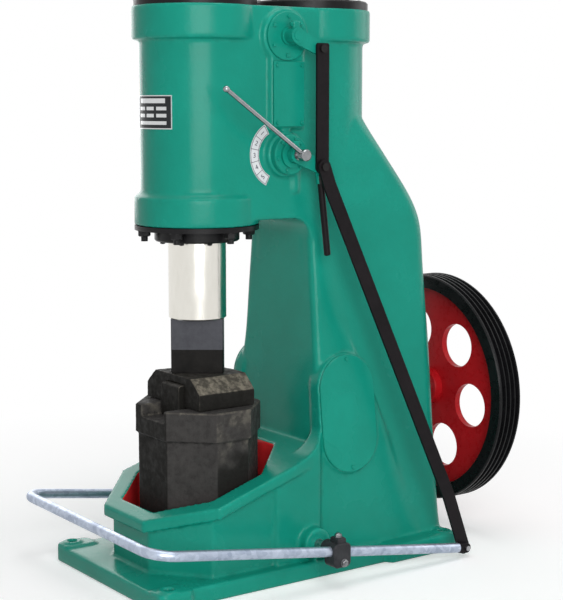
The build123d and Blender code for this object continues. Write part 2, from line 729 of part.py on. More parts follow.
PIN_Y = VALVE_Y + LEVER_REACH_Y
TIE_PLANE = LEVER_PLANE + LEVER_THICKNESS + TIE_GAP
ROD_PLANE = TIE_PLANE + TIE_THICKNESS + PLATE_GAP
ROD_LOW_PLANE = TREADLE_HALF_WIDTH - 6 - PLATE_GAP - ROD_THICKNESS


def lever_arm(valve_z):
    """Flat arm from the spindle to its pin, with a clamped hub."""
    pin_z = valve_z - LEVER_DROP
    x1 = LEVER_PLANE + LEVER_THICKNESS
    length = math.hypot(LEVER_REACH_Y, LEVER_DROP)
    angle = math.degrees(math.atan2(-LEVER_DROP, LEVER_REACH_Y))
    outline = Polyline((0, -LEVER_HUB_R), (length, -LEVER_EYE_R), (length, LEVER_EYE_R), (0, LEVER_HUB_R), close=True)
    bar = extrude(Plane.YZ * make_face(outline), LEVER_THICKNESS)
    arm = Pos(LEVER_PLANE, VALVE_Y, valve_z) * Rot(angle, 0, 0) * bar
    arm += along_x(LEVER_HUB_R, LEVER_PLANE - 4, x1 + 8, VALVE_Y, valve_z)
    arm += along_x(LEVER_EYE_R, LEVER_PLANE, x1, PIN_Y, pin_z)
    return arm - along_x(SPINDLE_R + SPINDLE_FIT, LEVER_PLANE - 4, x1 + 8, VALVE_Y, valve_z)


def hand_lever_place():
    """Axis of the lower pin in the lever's plane, local -Z running down the hand lever."""
    middle = LEVER_PLANE + LEVER_THICKNESS / 2
    return Pos(middle, PIN_Y, LOW_VALVE_Z - LEVER_DROP) * Rot(HAND_LEVER_LEAN, 0, 0)


def hand_lever_socket():
    """Neck under the eye of the lever that ends in a socket for the hand lever."""
    outer = HAND_LEVER_R + SOCKET_WALL
    half = LEVER_THICKNESS / 2
    top = -HAND_LEVER_START + SOCKET_CROWN
    socket = along_z(outer, 0, 0, -HAND_LEVER_START - SOCKET_DEPTH, top)
    socket += block(-half, half, -outer, outer, top - 1, -LEVER_EYE_R / 2)
    return hand_lever_place() * (socket - hand_lever_bore())


def hand_lever_bore():
    return along_z(HAND_LEVER_R, 0, 0, -HAND_LEVER_START - SOCKET_DEPTH, -HAND_LEVER_START)


def low_lever():
    pin_z = LOW_VALVE_Z - LEVER_DROP
    end = ROD_PLANE + ROD_THICKNESS + 1
    arm = lever_arm(LOW_VALVE_Z) + hand_lever_socket()
    arm += along_x(PIN_R + PIN_HEAD_RISE, LEVER_PLANE + 2, TIE_PLANE - PLATE_GAP, PIN_Y, pin_z)
    arm += along_x(PIN_R, LEVER_PLANE + 2, end, PIN_Y, pin_z)
    arm += along_x(PIN_R + PIN_HEAD_RISE, end, end + 5, PIN_Y, pin_z)
    return arm


def upper_lever():
    pin_z = UPPER_VALVE_Z - LEVER_DROP
    end = TIE_PLANE + TIE_THICKNESS + 1
    arm = lever_arm(UPPER_VALVE_Z)
    arm += along_x(PIN_R + PIN_HEAD_RISE, LEVER_PLANE + 2, TIE_PLANE - PLATE_GAP, PIN_Y, pin_z)
    arm += along_x(PIN_R, LEVER_PLANE + 2, end, PIN_Y, pin_z)
    arm += along_x(PIN_R + PIN_HEAD_RISE, end, end + 5, PIN_Y, pin_z)
    return arm


def hand_lever():
    rod = along_z(HAND_LEVER_R, 0, 0, -HAND_LEVER_START - HAND_LEVER_LENGTH, -HAND_LEVER_START)
    return hand_lever_place() * chamfer(rod.faces().sort_by(Axis.Z)[0].edges(), 3)


def tie_bar():
    low = LOW_VALVE_Z - LEVER_DROP
    high = UPPER_VALVE_Z - LEVER_DROP
    half = TIE_WIDTH / 2
    x1 = TIE_PLANE + TIE_THICKNESS
    bar = block(TIE_PLANE, x1, PIN_Y - half, PIN_Y + half, low, high + TIE_END)
    bar = chamfer(bar.edges().filter_by(Axis.X).sort_by(Axis.Z)[-2:], 5)
    bar += along_x(half, TIE_PLANE, x1, PIN_Y, low)
    for z in (low, high):
        bar -= along_x(PIN_R + PIN_FIT, TIE_PLANE, x1, PIN_Y, z)
    return bar


def pull_rod():
    """Flat bar from the rear pin of the treadle up to the lower valve lever, set over in X."""
    high_z = LOW_VALVE_Z - LEVER_DROP
    half = ROD_WIDTH / 2
    run = math.hypot(ROD_PIN_Y - PIN_Y, high_z - ROD_PIN_Z)
    low = ROD_LOW_PLANE
    high = ROD_PLANE
    foot = ROD_LOW_BEND
    neck = run - ROD_HIGH_BEND
    thick = ROD_THICKNESS
    side = [(low, 0), (low, foot), (high, neck), (high, run),
            (high + thick, run), (high + thick, neck + 1), (low + thick, foot + 1), (low + thick, 0)]
    bar = extrude(Plane.XZ * plan(side), half, both=True)
    bar += along_x(half, low, low + thick, 0, 0)
    bar += along_x(half, high, high + thick, 0, run)
    bar -= along_x(PIN_R + PIN_FIT, low, low + thick, 0, 0)
    bar -= along_x(PIN_R + ROD_EYE_CLEARANCE, high, high + thick, 0, run)
    lean = math.degrees(math.atan2(ROD_PIN_Y - PIN_Y, high_z - ROD_PIN_Z))
    return Pos(0, ROD_PIN_Y, ROD_PIN_Z) * Rot(lean, 0, 0) * bar


def rod_pin():
    start = ROD_LOW_PLANE - 8
    pin = along_x(PIN_R, start, TREADLE_HALF_WIDTH + 12, ROD_PIN_Y, ROD_PIN_Z)
    pin += along_x(PIN_R + 4, start - 5, start, ROD_PIN_Y, ROD_PIN_Z)
    return pin


# Index handle

def handle_hub():
    hub = along_x(HANDLE_HUB_R, HANDLE_START, HANDLE_START + HANDLE_HUB_LENGTH, VALVE_Y, LOW_VALVE_Z)
    hub = chamfer(hub.edges().filter_by(GeomType.CIRCLE), 3)
    return hub - along_x(JOURNAL_R + SPINDLE_FIT, HANDLE_START, HANDLE_START + JOURNAL_LENGTH + 1, VALVE_Y, LOW_VALVE_Z)


def handle_bar():
    angle = math.radians(HANDLE_ANGLE)
    direction = Vector(0, math.cos(angle), math.sin(angle))
    centre = Vector(HANDLE_PLANE, VALVE_Y, LOW_VALVE_Z)
    start = centre + direction * HANDLE_HUB_R
    end = centre + direction * HANDLE_LENGTH
    bar = extrude(Plane(origin=start, z_dir=direction) * Circle(HANDLE_R), HANDLE_LENGTH - HANDLE_HUB_R)
    return bar + Pos(end.X, end.Y, end.Z) * Sphere(HANDLE_BALL_R)


os.makedirs("parts", exist_ok=True)

left_clamp = mirror(treadle_clamp(), Plane.YZ)
left_stub = mirror(treadle_stub(), Plane.YZ)

pieces = {
    "frame_casting": frame_casting(),
    "front_top_cover": top_cover(0),
    "rear_top_cover": top_cover(CYLINDER_PITCH),
    "gland_plate": gland_plate(),
    "gland_ring": gland_ring(),
    "side_cover_right": side_cover(1),
    "side_cover_left": side_cover(-1),
    "upper_valve_cover": upper_valve_cover(),
    "port_cover": port_cover(),
    "low_valve_cover": low_valve_cover(),
    "upper_spindle": spindle(UPPER_VALVE_Z),
    "low_spindle": low_spindle(),
    "rear_bearing": rear_bearing(),
    "treadle_stub_right": treadle_stub(),
    "treadle_stub_left": left_stub,
    "anvil_block": anvil_block(),
    "anvil_cap": anvil_cap(),
    "anvil_key": anvil_key(),
    "ram_rod": ram_rod(),
    "ram_head": ram_head(),
    "upper_die": upper_die(),
    "flywheel_rim": flywheel_rim(),
    "flywheel_web": flywheel_web(),
    "flywheel_hub": flywheel_hub(),
    "crankshaft": crankshaft(),
    "treadle_pipe": treadle_pipe(),
    "treadle_eye": treadle_eye(),
    "treadle_clamp_right": treadle_clamp(),
    "treadle_clamp_left": left_clamp,
    "rod_pin": rod_pin(),
    "pull_rod": pull_rod(),
    "low_valve_lever": low_lever(),
    "hand_lever": hand_lever(),
    "tie_bar": tie_bar(),
    "upper_valve_lever": upper_lever(),
    "index_handle_hub": handle_hub(),
    "index_handle_bar": handle_bar(),
}

for node, shape in pieces.items():
    export_step(shape, "parts/" + node + ".step")
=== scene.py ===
import math
import bmesh
import bpy
import numpy as np
from mathutils import Matrix, Vector, noise


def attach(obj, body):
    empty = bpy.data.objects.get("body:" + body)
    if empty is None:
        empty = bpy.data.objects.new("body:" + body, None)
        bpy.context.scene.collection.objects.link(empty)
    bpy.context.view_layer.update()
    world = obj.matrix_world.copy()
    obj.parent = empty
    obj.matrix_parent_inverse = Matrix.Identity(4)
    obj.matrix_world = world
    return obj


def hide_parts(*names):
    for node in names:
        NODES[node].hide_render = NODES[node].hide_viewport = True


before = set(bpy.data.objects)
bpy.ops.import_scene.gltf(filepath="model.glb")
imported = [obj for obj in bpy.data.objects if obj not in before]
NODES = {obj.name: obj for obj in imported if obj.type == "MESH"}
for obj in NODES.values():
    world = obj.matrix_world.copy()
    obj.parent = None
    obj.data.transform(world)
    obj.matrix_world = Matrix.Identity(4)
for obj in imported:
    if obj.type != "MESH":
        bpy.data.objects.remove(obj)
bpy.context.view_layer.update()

# Places and sizes on the machine, in metres
CYLINDER_R = 0.165
WALL_X = 0.165
VALVE_Y = 0.196
REAR_CYLINDER_Y = 0.410
COVER_TOP = 1.706
LOW_VALVE_Z = 1.253
UPPER_VALVE_Z = 1.594
UPPER_COVER_FACE = 0.190
LOW_COVER_FACE = 0.207
PORT_COVER_FACE = 0.189
PORT_CENTRE = (0.2025, 1.4275)
SIDE_COVER_Y = 0.386
SIDE_COVER_Z = 0.470
SIDE_COVER_WALL_X = 0.237
SIDE_COVER_THICKNESS = 0.008
SIDE_COVER_LEAN = 6.5
GLAND_PLATE_LOW = 1.033
GLAND_RING_LOW = 0.999
WHEEL_Z = 0.460
BEARING_FACE = 0.798
SHAFT_END = 0.992
PIVOT_Y = 0.225
PIVOT_Z = 0.107
CLAMP_X = 0.400
CLAMP_FACE = 0.424
CLAMP_TOP_ABOVE_PIVOT = 0.0448
LEVER_FACE = 0.2345
PIN_Y = 0.282
PIN_HEAD_REACH = 0.018


# Camera at the photographer's place

CAMERA_PLACE = (3.7238, -2.3420, 1.4000)
CAMERA_FORWARD = (-0.8078, 0.5747, -0.1309)
CAMERA_LENS = 89.19


def look_from(place, forward, lens):
    data = bpy.data.cameras.new("camera")
    data.sensor_width = 36.0
    data.lens = lens
    data.clip_end = 60.0
    camera = bpy.data.objects.new("camera", data)
    camera.location = place
    camera.rotation_mode = "QUATERNION"
    camera.rotation_quaternion = Vector(forward).to_track_quat("-Z", "Y")
    bpy.context.scene.collection.objects.link(camera)
    bpy.context.scene.camera = camera


look_from(CAMERA_PLACE, CAMERA_FORWARD, CAMERA_LENS)
bpy.context.scene.view_settings.view_transform = "Standard"


# Shader building blocks

def new_material(name):
    material = bpy.data.materials.new(name)
    material.use_nodes = True
    tree = material.node_tree
    tree.nodes.clear()
    output = tree.nodes.new("ShaderNodeOutputMaterial")
    principled = tree.nodes.new("ShaderNodeBsdfPrincipled")
    tree.links.new(principled.outputs["BSDF"], output.inputs["Surface"])
    return material, tree, principled


def new_group(name, inputs, outputs):
    group = bpy.data.node_groups.new(name, "ShaderNodeTree")
    for label, kind, value in inputs:
        socket = group.interface.new_socket(name=label, in_out="INPUT", socket_type=kind)
        if value is not None:
            socket.default_value = value
    for label, kind in outputs:
        group.interface.new_socket(name=label, in_out="OUTPUT", socket_type=kind)
    return group, group.nodes.new("NodeGroupInput").outputs, group.nodes.new("NodeGroupOutput").inputs


def join(tree, source, target):
    if isinstance(source, (int, float)):
        target.default_value = source
    elif isinstance(source, tuple):
        target.default_value = source if len(source) == len(target.default_value) else (*source, 1.0)
    else:
        tree.links.new(source, target)


def calc(tree, operation, *values):
    node = tree.nodes.new("ShaderNodeMath")
    node.operation = operation
    for index, value in enumerate(values):
        join(tree, value, node.inputs[index])
    return node.outputs["Value"]


def weighted_sum(tree, first, first_share, second, second_share):
    return calc(tree, "ADD", calc(tree, "MULTIPLY", first, first_share), calc(tree, "MULTIPLY", second, second_share))


def map_range(tree, value, low, high, low_out=0.0, high_out=1.0):
    node = tree.nodes.new("ShaderNodeMapRange")
    for label, number in (("From Min", low), ("From Max", high), ("To Min", low_out), ("To Max", high_out)):
        join(tree, number, node.inputs[label])
    tree.links.new(value, node.inputs["Value"])
    return node.outputs["Result"]


def mix_colour(tree, factor, first, second):
    node = tree.nodes.new("ShaderNodeMix")
    node.data_type = "RGBA"
    join(tree, factor, node.inputs["Factor"])
    colours = [socket for socket in node.inputs if socket.type == "RGBA"]
    join(tree, first, colours[0])
    join(tree, second, colours[1])
    return [socket for socket in node.outputs if socket.type == "RGBA"][0]


def noise_node(tree, vector, scale, detail=3.0, roughness=0.55):
    node = tree.nodes.new("ShaderNodeTexNoise")
    join(tree, scale, node.inputs["Scale"])
    node.inputs["Detail"].default_value = detail
    node.inputs["Roughness"].default_value = roughness
    tree.links.new(vector, node.inputs["Vector"])
    return node.outputs["Fac"]


def bump_node(tree, height, strength, distance):
    node = tree.nodes.new("ShaderNodeBump")
    node.inputs["Strength"].default_value = strength
    node.inputs["Distance"].default_value = distance
    tree.links.new(height, node.inputs["Height"])
    return node.outputs["Normal"]


def object_place(tree, stretch=None):
    source = tree.nodes.new("ShaderNodeTexCoord").outputs["Object"]
    if stretch is None:
        return source
    mapping = tree.nodes.new("ShaderNodeMapping")
    mapping.inputs["Scale"].default_value = stretch
    tree.links.new(source, mapping.inputs["Vector"])
    return mapping.outputs["Vector"]


def make_blotch_group():
    """Slow and quick variation over a surface, as masks from 0 to 1, and a fine height."""
    group, source, result = new_group(
        "surface blotches",
        [("Place", "NodeSocketVector", None), ("Broad", "NodeSocketFloat", 4.0), ("Fine", "NodeSocketFloat", 60.0),
         ("Grain", "NodeSocketFloat", 200.0)],
        [("Blotch", "NodeSocketFloat"), ("Speck", "NodeSocketFloat"), ("Height", "NodeSocketFloat")])
    broad = noise_node(group, source["Place"], source["Broad"], 4.0, 0.6)
    fine = noise_node(group, source["Place"], source["Fine"], 5.0, 0.62)
    grain = noise_node(group, source["Place"], source["Grain"], 2.0)
    group.links.new(map_range(group, broad, 0.32, 0.68), result["Blotch"])
    group.links.new(map_range(group, fine, 0.40, 0.66), result["Speck"])
    group.links.new(calc(group, "ADD", fine, calc(group, "MULTIPLY", grain, 0.4)), result["Height"])
    return group


def make_edge_group():
    """Edge and hollow masks from how the surface bends, kept in the piece's own attribute: edges take a painted
    highlight on enamel and rubbed crust on the anvil, hollows take painted shade.
    """
    group, source, result = new_group(
        "edges and hollows",
        [("Bend", "NodeSocketFloat", 0.5), ("Breakup", "NodeSocketFloat", 0.5), ("Edge Start", "NodeSocketFloat", 0.58),
         ("Hollow Start", "NodeSocketFloat", 0.44)],
        [("Edge", "NodeSocketFloat"), ("Hollow", "NodeSocketFloat")])
    shifted = calc(group, "MULTIPLY", calc(group, "SUBTRACT", source["Breakup"], 0.5), 0.16)
    bend = calc(group, "ADD", source["Bend"], shifted)
    edge_end = calc(group, "ADD", source["Edge Start"], 0.2)
    hollow_end = calc(group, "SUBTRACT", source["Hollow Start"], 0.2)
    group.links.new(map_range(group, bend, source["Edge Start"], edge_end), result["Edge"])
    group.links.new(map_range(group, bend, source["Hollow Start"], hollow_end), result["Hollow"])
    return group


BLOTCHES = make_blotch_group()
EDGES = make_edge_group()


def add_blotches(tree, place, broad, fine, grain):
    node = tree.nodes.new("ShaderNodeGroup")
    node.node_tree = BLOTCHES
    tree.links.new(place, node.inputs["Place"])
    for label, value in (("Broad", broad), ("Fine", fine), ("Grain", grain)):
        node.inputs[label].default_value = value
    return node.outputs["Blotch"], node.outputs["Speck"], node.outputs["Height"]


def point_mask(tree, name):
    attribute = tree.nodes.new("ShaderNodeAttribute")
    attribute.attribute_name = name
    return attribute.outputs["Fac"]


def add_edges(tree, breakup, edge_start, hollow_start):
    node = tree.nodes.new("ShaderNodeGroup")
    node.node_tree = EDGES
    tree.links.new(point_mask(tree, "bend"), node.inputs["Bend"])
    tree.links.new(breakup, node.inputs["Breakup"])
    node.inputs["Edge Start"].default_value = edge_start
    node.inputs["Hollow Start"].default_value = hollow_start
    return node.outputs["Edge"], node.outputs["Hollow"]


# Finishes

ENAMEL_DEEP = (0.0045, 0.240, 0.172)
ENAMEL_LIGHT = (0.0075, 0.285, 0.208)
# Lighter teal is painted on the edges as highlight, and darker teal is painted in the hollows as shade.
ENAMEL_EDGE_HIGHLIGHT = (0.018, 0.40, 0.31)
ENAMEL_SHADED = (0.0020, 0.135, 0.098)
POCKET_RED = (0.72, 0.026, 0.030)
POCKET_RED_LIGHT = (0.82, 0.036, 0.040)
PIN_DARK = (0.014, 0.013, 0.013)
# Near black, painted on the anvil's front face as shade and on the foot of its sides.
ANVIL_FRONT_SHADE_AND_FOOT = (0.0075, 0.0072, 0.0062)
# Darker still, painted in the anvil's hollows as shade.
ANVIL_HOLLOW_SHADE = (0.004, 0.0036, 0.0034)

# The pocket round the anvil: its sloping rim, floor, walls and cut corners
POCKET_RIM_Z = 0.2915
POCKET_RIM_SLOPE = 0.32
POCKET_FLOOR_Z = 0.046
POCKET_HALF_WIDTH = 0.2135
POCKET_FRONT_Y = -0.2175
POCKET_REAR_Y = 0.2295
POCKET_CORNER_SLOPE = 0.985
POCKET_CORNER_REACH = 0.3065


def inside_pocket(tree, place):
    """One inside the walls round the anvil, below the rim."""
    split = tree.nodes.new("ShaderNodeSeparateXYZ")
    tree.links.new(place, split.inputs["Vector"])
    x, y, z = (split.outputs[axis] for axis in "XYZ")
    across = calc(tree, "ABSOLUTE", x)
    rim_height = calc(tree, "ADD", POCKET_RIM_Z, calc(tree, "MULTIPLY", y, POCKET_RIM_SLOPE))
    along = calc(tree, "ABSOLUTE", y)
    corner = calc(tree, "ADD", across, calc(tree, "MULTIPLY", along, POCKET_CORNER_SLOPE))
    mask = calc(tree, "LESS_THAN", z, rim_height)
    for value, test, limit in ((z, "GREATER_THAN", POCKET_FLOOR_Z), (across, "LESS_THAN", POCKET_HALF_WIDTH),
                               (y, "GREATER_THAN", POCKET_FRONT_Y), (y, "LESS_THAN", POCKET_REAR_Y),
                               (corner, "LESS_THAN", POCKET_CORNER_REACH)):
        mask = calc(tree, "MULTIPLY", mask, calc(tree, test, value, limit))
    return mask


def dark_pins(tree, place):
    """One on the pin heads at the ends of the two valve levers."""
    split = tree.nodes.new("ShaderNodeSeparateXYZ")
    tree.links.new(place, split.inputs["Vector"])
    beyond = calc(tree, "GREATER_THAN", split.outputs["X"], LEVER_FACE)
    from_pin = calc(tree, "ABSOLUTE", calc(tree, "SUBTRACT", split.outputs["Y"], PIN_Y))
    near = calc(tree, "LESS_THAN", from_pin, PIN_HEAD_REACH)
    return calc(tree, "MULTIPLY", beyond, near)


def enamel(name, with_bend, with_pins=False):
    """Thick gloss enamel over cast iron, with orange peel and faint patches.

    with_bend is for the frame casting: it adds a painted highlight on the edges, painted shade in the hollows and the
    red paint in the pocket.
    with_pins is for the valve levers: it adds their dark pin heads.
    """
    material, tree, principled = new_material(name)
    place = object_place(tree)
    blotch, speck, height = add_blotches(tree, place, 3.4, 30.0, 120.0)
    colour = mix_colour(tree, blotch, ENAMEL_DEEP, ENAMEL_LIGHT)
    if with_bend:
        edge, hollow_shade = add_edges(tree, speck, 0.60, 0.42)
        # Painted highlight on the edges and painted shade in the hollows.
        colour = mix_colour(tree, calc(tree, "MULTIPLY", edge, 0.55), colour, ENAMEL_EDGE_HIGHLIGHT)
        colour = mix_colour(tree, calc(tree, "MULTIPLY", hollow_shade, 0.60), colour, ENAMEL_SHADED)
        red = mix_colour(tree, speck, POCKET_RED, POCKET_RED_LIGHT)
        colour = mix_colour(tree, inside_pocket(tree, place), colour, red)
    if with_pins:
        colour = mix_colour(tree, dark_pins(tree, place), colour, PIN_DARK)
    tree.links.new(colour, principled.inputs["Base Color"])
    tree.links.new(map_range(tree, blotch, 0.0, 1.0, 0.20, 0.30), principled.inputs["Roughness"])
    principled.inputs["Specular IOR Level"].default_value = 0.16
    tree.links.new(bump_node(tree, height, 0.22, 0.0024), principled.inputs["Normal"])
    return material


def gloss_paint(name, dark, light, roughness, scales=(7.0, 55.0, 160.0), strength=0.25, depth=0.0012, level=0.16):
    material, tree, principled = new_material(name)
    blotch, speck, height = add_blotches(tree, object_place(tree), *scales)
    tone = weighted_sum(tree, blotch, 0.7, speck, 0.3)
    tree.links.new(mix_colour(tree, tone, dark, light), principled.inputs["Base Color"])
    tree.links.new(map_range(tree, speck, 0.0, 1.0, *roughness), principled.inputs["Roughness"])
    principled.inputs["Specular IOR Level"].default_value = level
    tree.links.new(bump_node(tree, height, strength, depth), principled.inputs["Normal"])
    return material


def metal(name, dark, light, roughness, stretch=None, scales=(9.0, 70.0, 240.0), strength=0.15, depth=0.0004,
          metallic=1.0):
    material, tree, principled = new_material(name)
    blotch, speck, height = add_blotches(tree, object_place(tree, stretch), *scales)
    tone = weighted_sum(tree, blotch, 0.5, speck, 0.5)
    tree.links.new(mix_colour(tree, tone, dark, light), principled.inputs["Base Color"])
    tree.links.new(map_range(tree, speck, 0.0, 1.0, *roughness), principled.inputs["Roughness"])
    principled.inputs["Metallic"].default_value = metallic
    tree.links.new(bump_node(tree, height, strength, depth), principled.inputs["Normal"])
    return material


def anvil_iron(name, dark, light, crust):
    """Iron with its casting skin: pitted, near black, with pale crust rubbed bright along the edges, painted shade on
    the front face and in the hollows, and darker towards the foot of the sides.
    """
    material, tree, principled = new_material(name)
    blotch, speck, height = add_blotches(tree, object_place(tree), 9.0, 48.0, 190.0)
    edge, hollow_shade = add_edges(tree, speck, 0.60, 0.44)
    colour = mix_colour(tree, weighted_sum(tree, speck, 0.5, blotch, 0.5), dark, light)
    scaly = calc(tree, "MULTIPLY", point_mask(tree, "crust"), map_range(tree, speck, 0.15, 0.8, 0.25, 1.0))
    colour = mix_colour(tree, calc(tree, "MULTIPLY", scaly, 0.85), colour, crust)
    colour = mix_colour(tree, calc(tree, "MULTIPLY", edge, 0.55), colour, crust)
    # Painted shade on the front face, and darker towards the foot of the sides.
    colour = mix_colour(tree, calc(tree, "MULTIPLY", point_mask(tree, "front_shade_and_foot"), 0.85), colour, ANVIL_FRONT_SHADE_AND_FOOT)
    # Painted shade in the hollows.
    colour = mix_colour(tree, calc(tree, "MULTIPLY", hollow_shade, 0.8), colour, ANVIL_HOLLOW_SHADE)
    tree.links.new(colour, principled.inputs["Base Color"])
    tree.links.new(map_range(tree, speck, 0.0, 1.0, 0.78, 0.50), principled.inputs["Roughness"])
    principled.inputs["Specular IOR Level"].default_value = 0.12
    tree.links.new(bump_node(tree, height, 0.40, 0.0024), principled.inputs["Normal"])
    return material


def galvanised_zinc():
    """Hot-dipped zinc: bluish, with large soft crystals and dull streaks."""
    material, tree, principled = new_material("galvanised_pipe")
    place = object_place(tree)
    blotch, speck, height = add_blotches(tree, place, 14.0, 80.0, 260.0)
    crystals = tree.nodes.new("ShaderNodeTexVoronoi")
    crystals.inputs["Scale"].default_value = 75.0
    tree.links.new(place, crystals.inputs["Vector"])
    split = tree.nodes.new("ShaderNodeSeparateColor")
    tree.links.new(crystals.outputs["Color"], split.inputs["Color"])
    tone = weighted_sum(tree, split.outputs["Red"], 0.55, blotch, 0.45)
    tree.links.new(mix_colour(tree, tone, (0.27, 0.32, 0.42), (0.54, 0.60, 0.71)), principled.inputs["Base Color"])
    tree.links.new(map_range(tree, tone, 0.0, 1.0, 0.46, 0.28), principled.inputs["Roughness"])
    principled.inputs["Metallic"].default_value = 0.8
    tree.links.new(bump_node(tree, height, 0.18, 0.0006), principled.inputs["Normal"])
    return material


ENAMEL = enamel("teal_enamel_casting", True)
ENAMEL_SMALL = enamel("teal_enamel_covers", False)
ENAMEL_LEVER = enamel("teal_enamel_levers", False, True)
BLACK = gloss_paint("black_gloss_paint", (0.0050, 0.0050, 0.0055), (0.011, 0.011, 0.012), (0.30, 0.42))
BELT_BLACK = gloss_paint("wheel_rim_black", (0.0035, 0.0035, 0.0040), (0.0085, 0.0085, 0.0095), (0.26, 0.38))
BAR_BLACK = gloss_paint("black_flat_bar", (0.0045, 0.0035, 0.0042), (0.010, 0.0075, 0.0088), (0.38, 0.55), level=0.12)
RED = gloss_paint("wheel_red_paint", (0.40, 0.007, 0.011), (0.50, 0.011, 0.016), (0.26, 0.38))
CLAMP_IRON = gloss_paint("clamp_iron", (0.016, 0.017, 0.020), (0.045, 0.046, 0.050), (0.45, 0.66),
                         (16.0, 90.0, 260.0), 0.5, 0.002)
RAM = metal("ground_ram", (0.72, 0.70, 0.64), (0.79, 0.77, 0.715), (0.19, 0.25), (1.0, 1.0, 0.35), (6.0, 40.0, 200.0),
            0.04, 0.0003)
HEAD_STEEL = metal("ram_head_steel", (0.040, 0.041, 0.048), (0.062, 0.064, 0.072), (0.40, 0.52),
                   scales=(14.0, 60.0, 200.0), strength=0.25, depth=0.0008, metallic=0.8)
DIE_STEEL = metal("die_steel", (0.0050, 0.0048, 0.0045), (0.014, 0.013, 0.012), (0.45, 0.62),
                  scales=(14.0, 60.0, 200.0), strength=0.35, depth=0.0012, metallic=0.85)
STEEL = metal("machined_steel", (0.32, 0.32, 0.33), (0.50, 0.50, 0.51), (0.24, 0.40))
BOLT_STEEL = metal("bolt_steel", (0.14, 0.14, 0.15), (0.34, 0.34, 0.35), (0.28, 0.46))
BLACK_NUT = gloss_paint("blackened_nut", (0.0055, 0.0055, 0.006), (0.018, 0.018, 0.019), (0.34, 0.5))
CHROME = metal("plated_handle", (0.24, 0.25, 0.26), (0.36, 0.37, 0.38), (0.16, 0.26))
ZINC = galvanised_zinc()
ANVIL = anvil_iron("anvil_iron", (0.036, 0.034, 0.033), (0.054, 0.051, 0.049), (0.125, 0.115, 0.095))
CAP_IRON = anvil_iron("anvil_cap_iron", (0.020, 0.019, 0.017), (0.044, 0.041, 0.036), (0.235, 0.210, 0.165))
PLATE_WHITE = gloss_paint("index_white", (0.62, 0.64, 0.66), (0.72, 0.74, 0.76), (0.30, 0.42), strength=0.05)
PLATE_INK = gloss_paint("index_ink", (0.030, 0.034, 0.060), (0.045, 0.050, 0.080), (0.35, 0.45), strength=0.05)
PLATE_METAL = metal("plate_aluminium", (0.55, 0.56, 0.57), (0.68, 0.69, 0.70), (0.28, 0.40), (1.0, 1.0, 9.0))
PLATE_DARK = gloss_paint("plate_dark_field", (0.016, 0.018, 0.021), (0.026, 0.028, 0.032), (0.30, 0.42), strength=0.05)

FINISHES = {
    ENAMEL_SMALL: ["side_cover_right", "side_cover_left", "upper_valve_cover", "port_cover", "low_valve_cover",
                   "rear_bearing", "upper_spindle"],
    ENAMEL_LEVER: ["low_valve_lever", "upper_valve_lever"],
    BLACK: ["front_top_cover", "rear_top_cover", "gland_plate", "gland_ring"],
    BELT_BLACK: ["flywheel_rim"],
    BAR_BLACK: ["pull_rod", "tie_bar", "hand_lever", "treadle_eye"],
    RED: ["flywheel_web", "flywheel_hub"],
    CLAMP_IRON: ["treadle_clamp_right", "treadle_clamp_left"],
    RAM: ["ram_rod"],
    HEAD_STEEL: ["ram_head"],
    DIE_STEEL: ["upper_die"],
    STEEL: ["low_spindle", "treadle_stub_right", "treadle_stub_left", "crankshaft", "rod_pin"],
    ZINC: ["treadle_pipe"],
    CHROME: ["index_handle_hub", "index_handle_bar"],
    ANVIL: ["anvil_block"],
    CAP_IRON: ["anvil_cap", "anvil_key"],
    ENAMEL: ["frame_casting"],
}
for finish, names in FINISHES.items():
    for node_name in names:
        cad_mesh = NODES[node_name].data
        cad_mesh.materials.clear()
        cad_mesh.materials.append(finish)


# Mesh building blocks

def add_piece(name, mesh, material, body):
    piece = bpy.data.objects.new(name, mesh)
    bpy.context.scene.collection.objects.link(piece)
    mesh.materials.clear()
    mesh.materials.append(material)
    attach(piece, body)
    return piece


def plain_mesh(piece):
    """The piece with its modifiers applied, as a mesh of its own."""
    mesh = bpy.data.meshes.new_from_object(piece.evaluated_get(bpy.context.evaluated_depsgraph_get()))
    piece.modifiers.clear()
    old = piece.data
    piece.data = mesh
    bpy.data.meshes.remove(old)
    return mesh


def points_of(mesh):
    values = np.empty(len(mesh.vertices) * 3)
    mesh.vertices.foreach_get("co", values)
    return values.reshape(-1, 3)


def set_points(mesh, points):
    mesh.vertices.foreach_set("co", points.astype(np.float32).ravel())
    mesh.update()


def normals_of(mesh):
    values = np.empty(len(mesh.vertices) * 3)
    mesh.vertices.foreach_get("normal", values)
    return values.reshape(-1, 3)


def edges_of(mesh):
    values = np.empty(len(mesh.edges) * 2, dtype=np.int64)
    mesh.edges.foreach_get("vertices", values)
    return values.reshape(-1, 2)


def middle_of_neighbours(points, edges):
    count = np.bincount(edges.ravel(), minlength=len(points)).clip(1)
    result = np.empty_like(points)
    for axis in range(3):
        total = np.bincount(edges[:, 0], points[edges[:, 1], axis], len(points))
        total += np.bincount(edges[:, 1], points[edges[:, 0], axis], len(points))
        result[:, axis] = total / count
    return result


def store_bend(mesh, rounds, gain):
    """How far each point stands out of the smoothed surface: above a half on edges, below it in hollows."""
    start, edges = points_of(mesh), edges_of(mesh)
    moved = start
    for _ in range(rounds):
        moved = middle_of_neighbours(moved, edges)
    offset = ((start - moved) * normals_of(mesh)).sum(axis=1)
    values = np.clip(0.5 + offset * gain, 0.0, 1.0)
    mesh.attributes.new("bend", "FLOAT", "POINT").data.foreach_set("value", values.astype(np.float32))


def relax(mesh, weights, rounds):
    """Pulls points towards their neighbours, the more the greater their weight."""
    points, edges = points_of(mesh), edges_of(mesh)
    share = 0.7 * weights[:, None]
    for _ in range(rounds):
        points = points + (middle_of_neighbours(points, edges) - points) * share
    set_points(mesh, points)


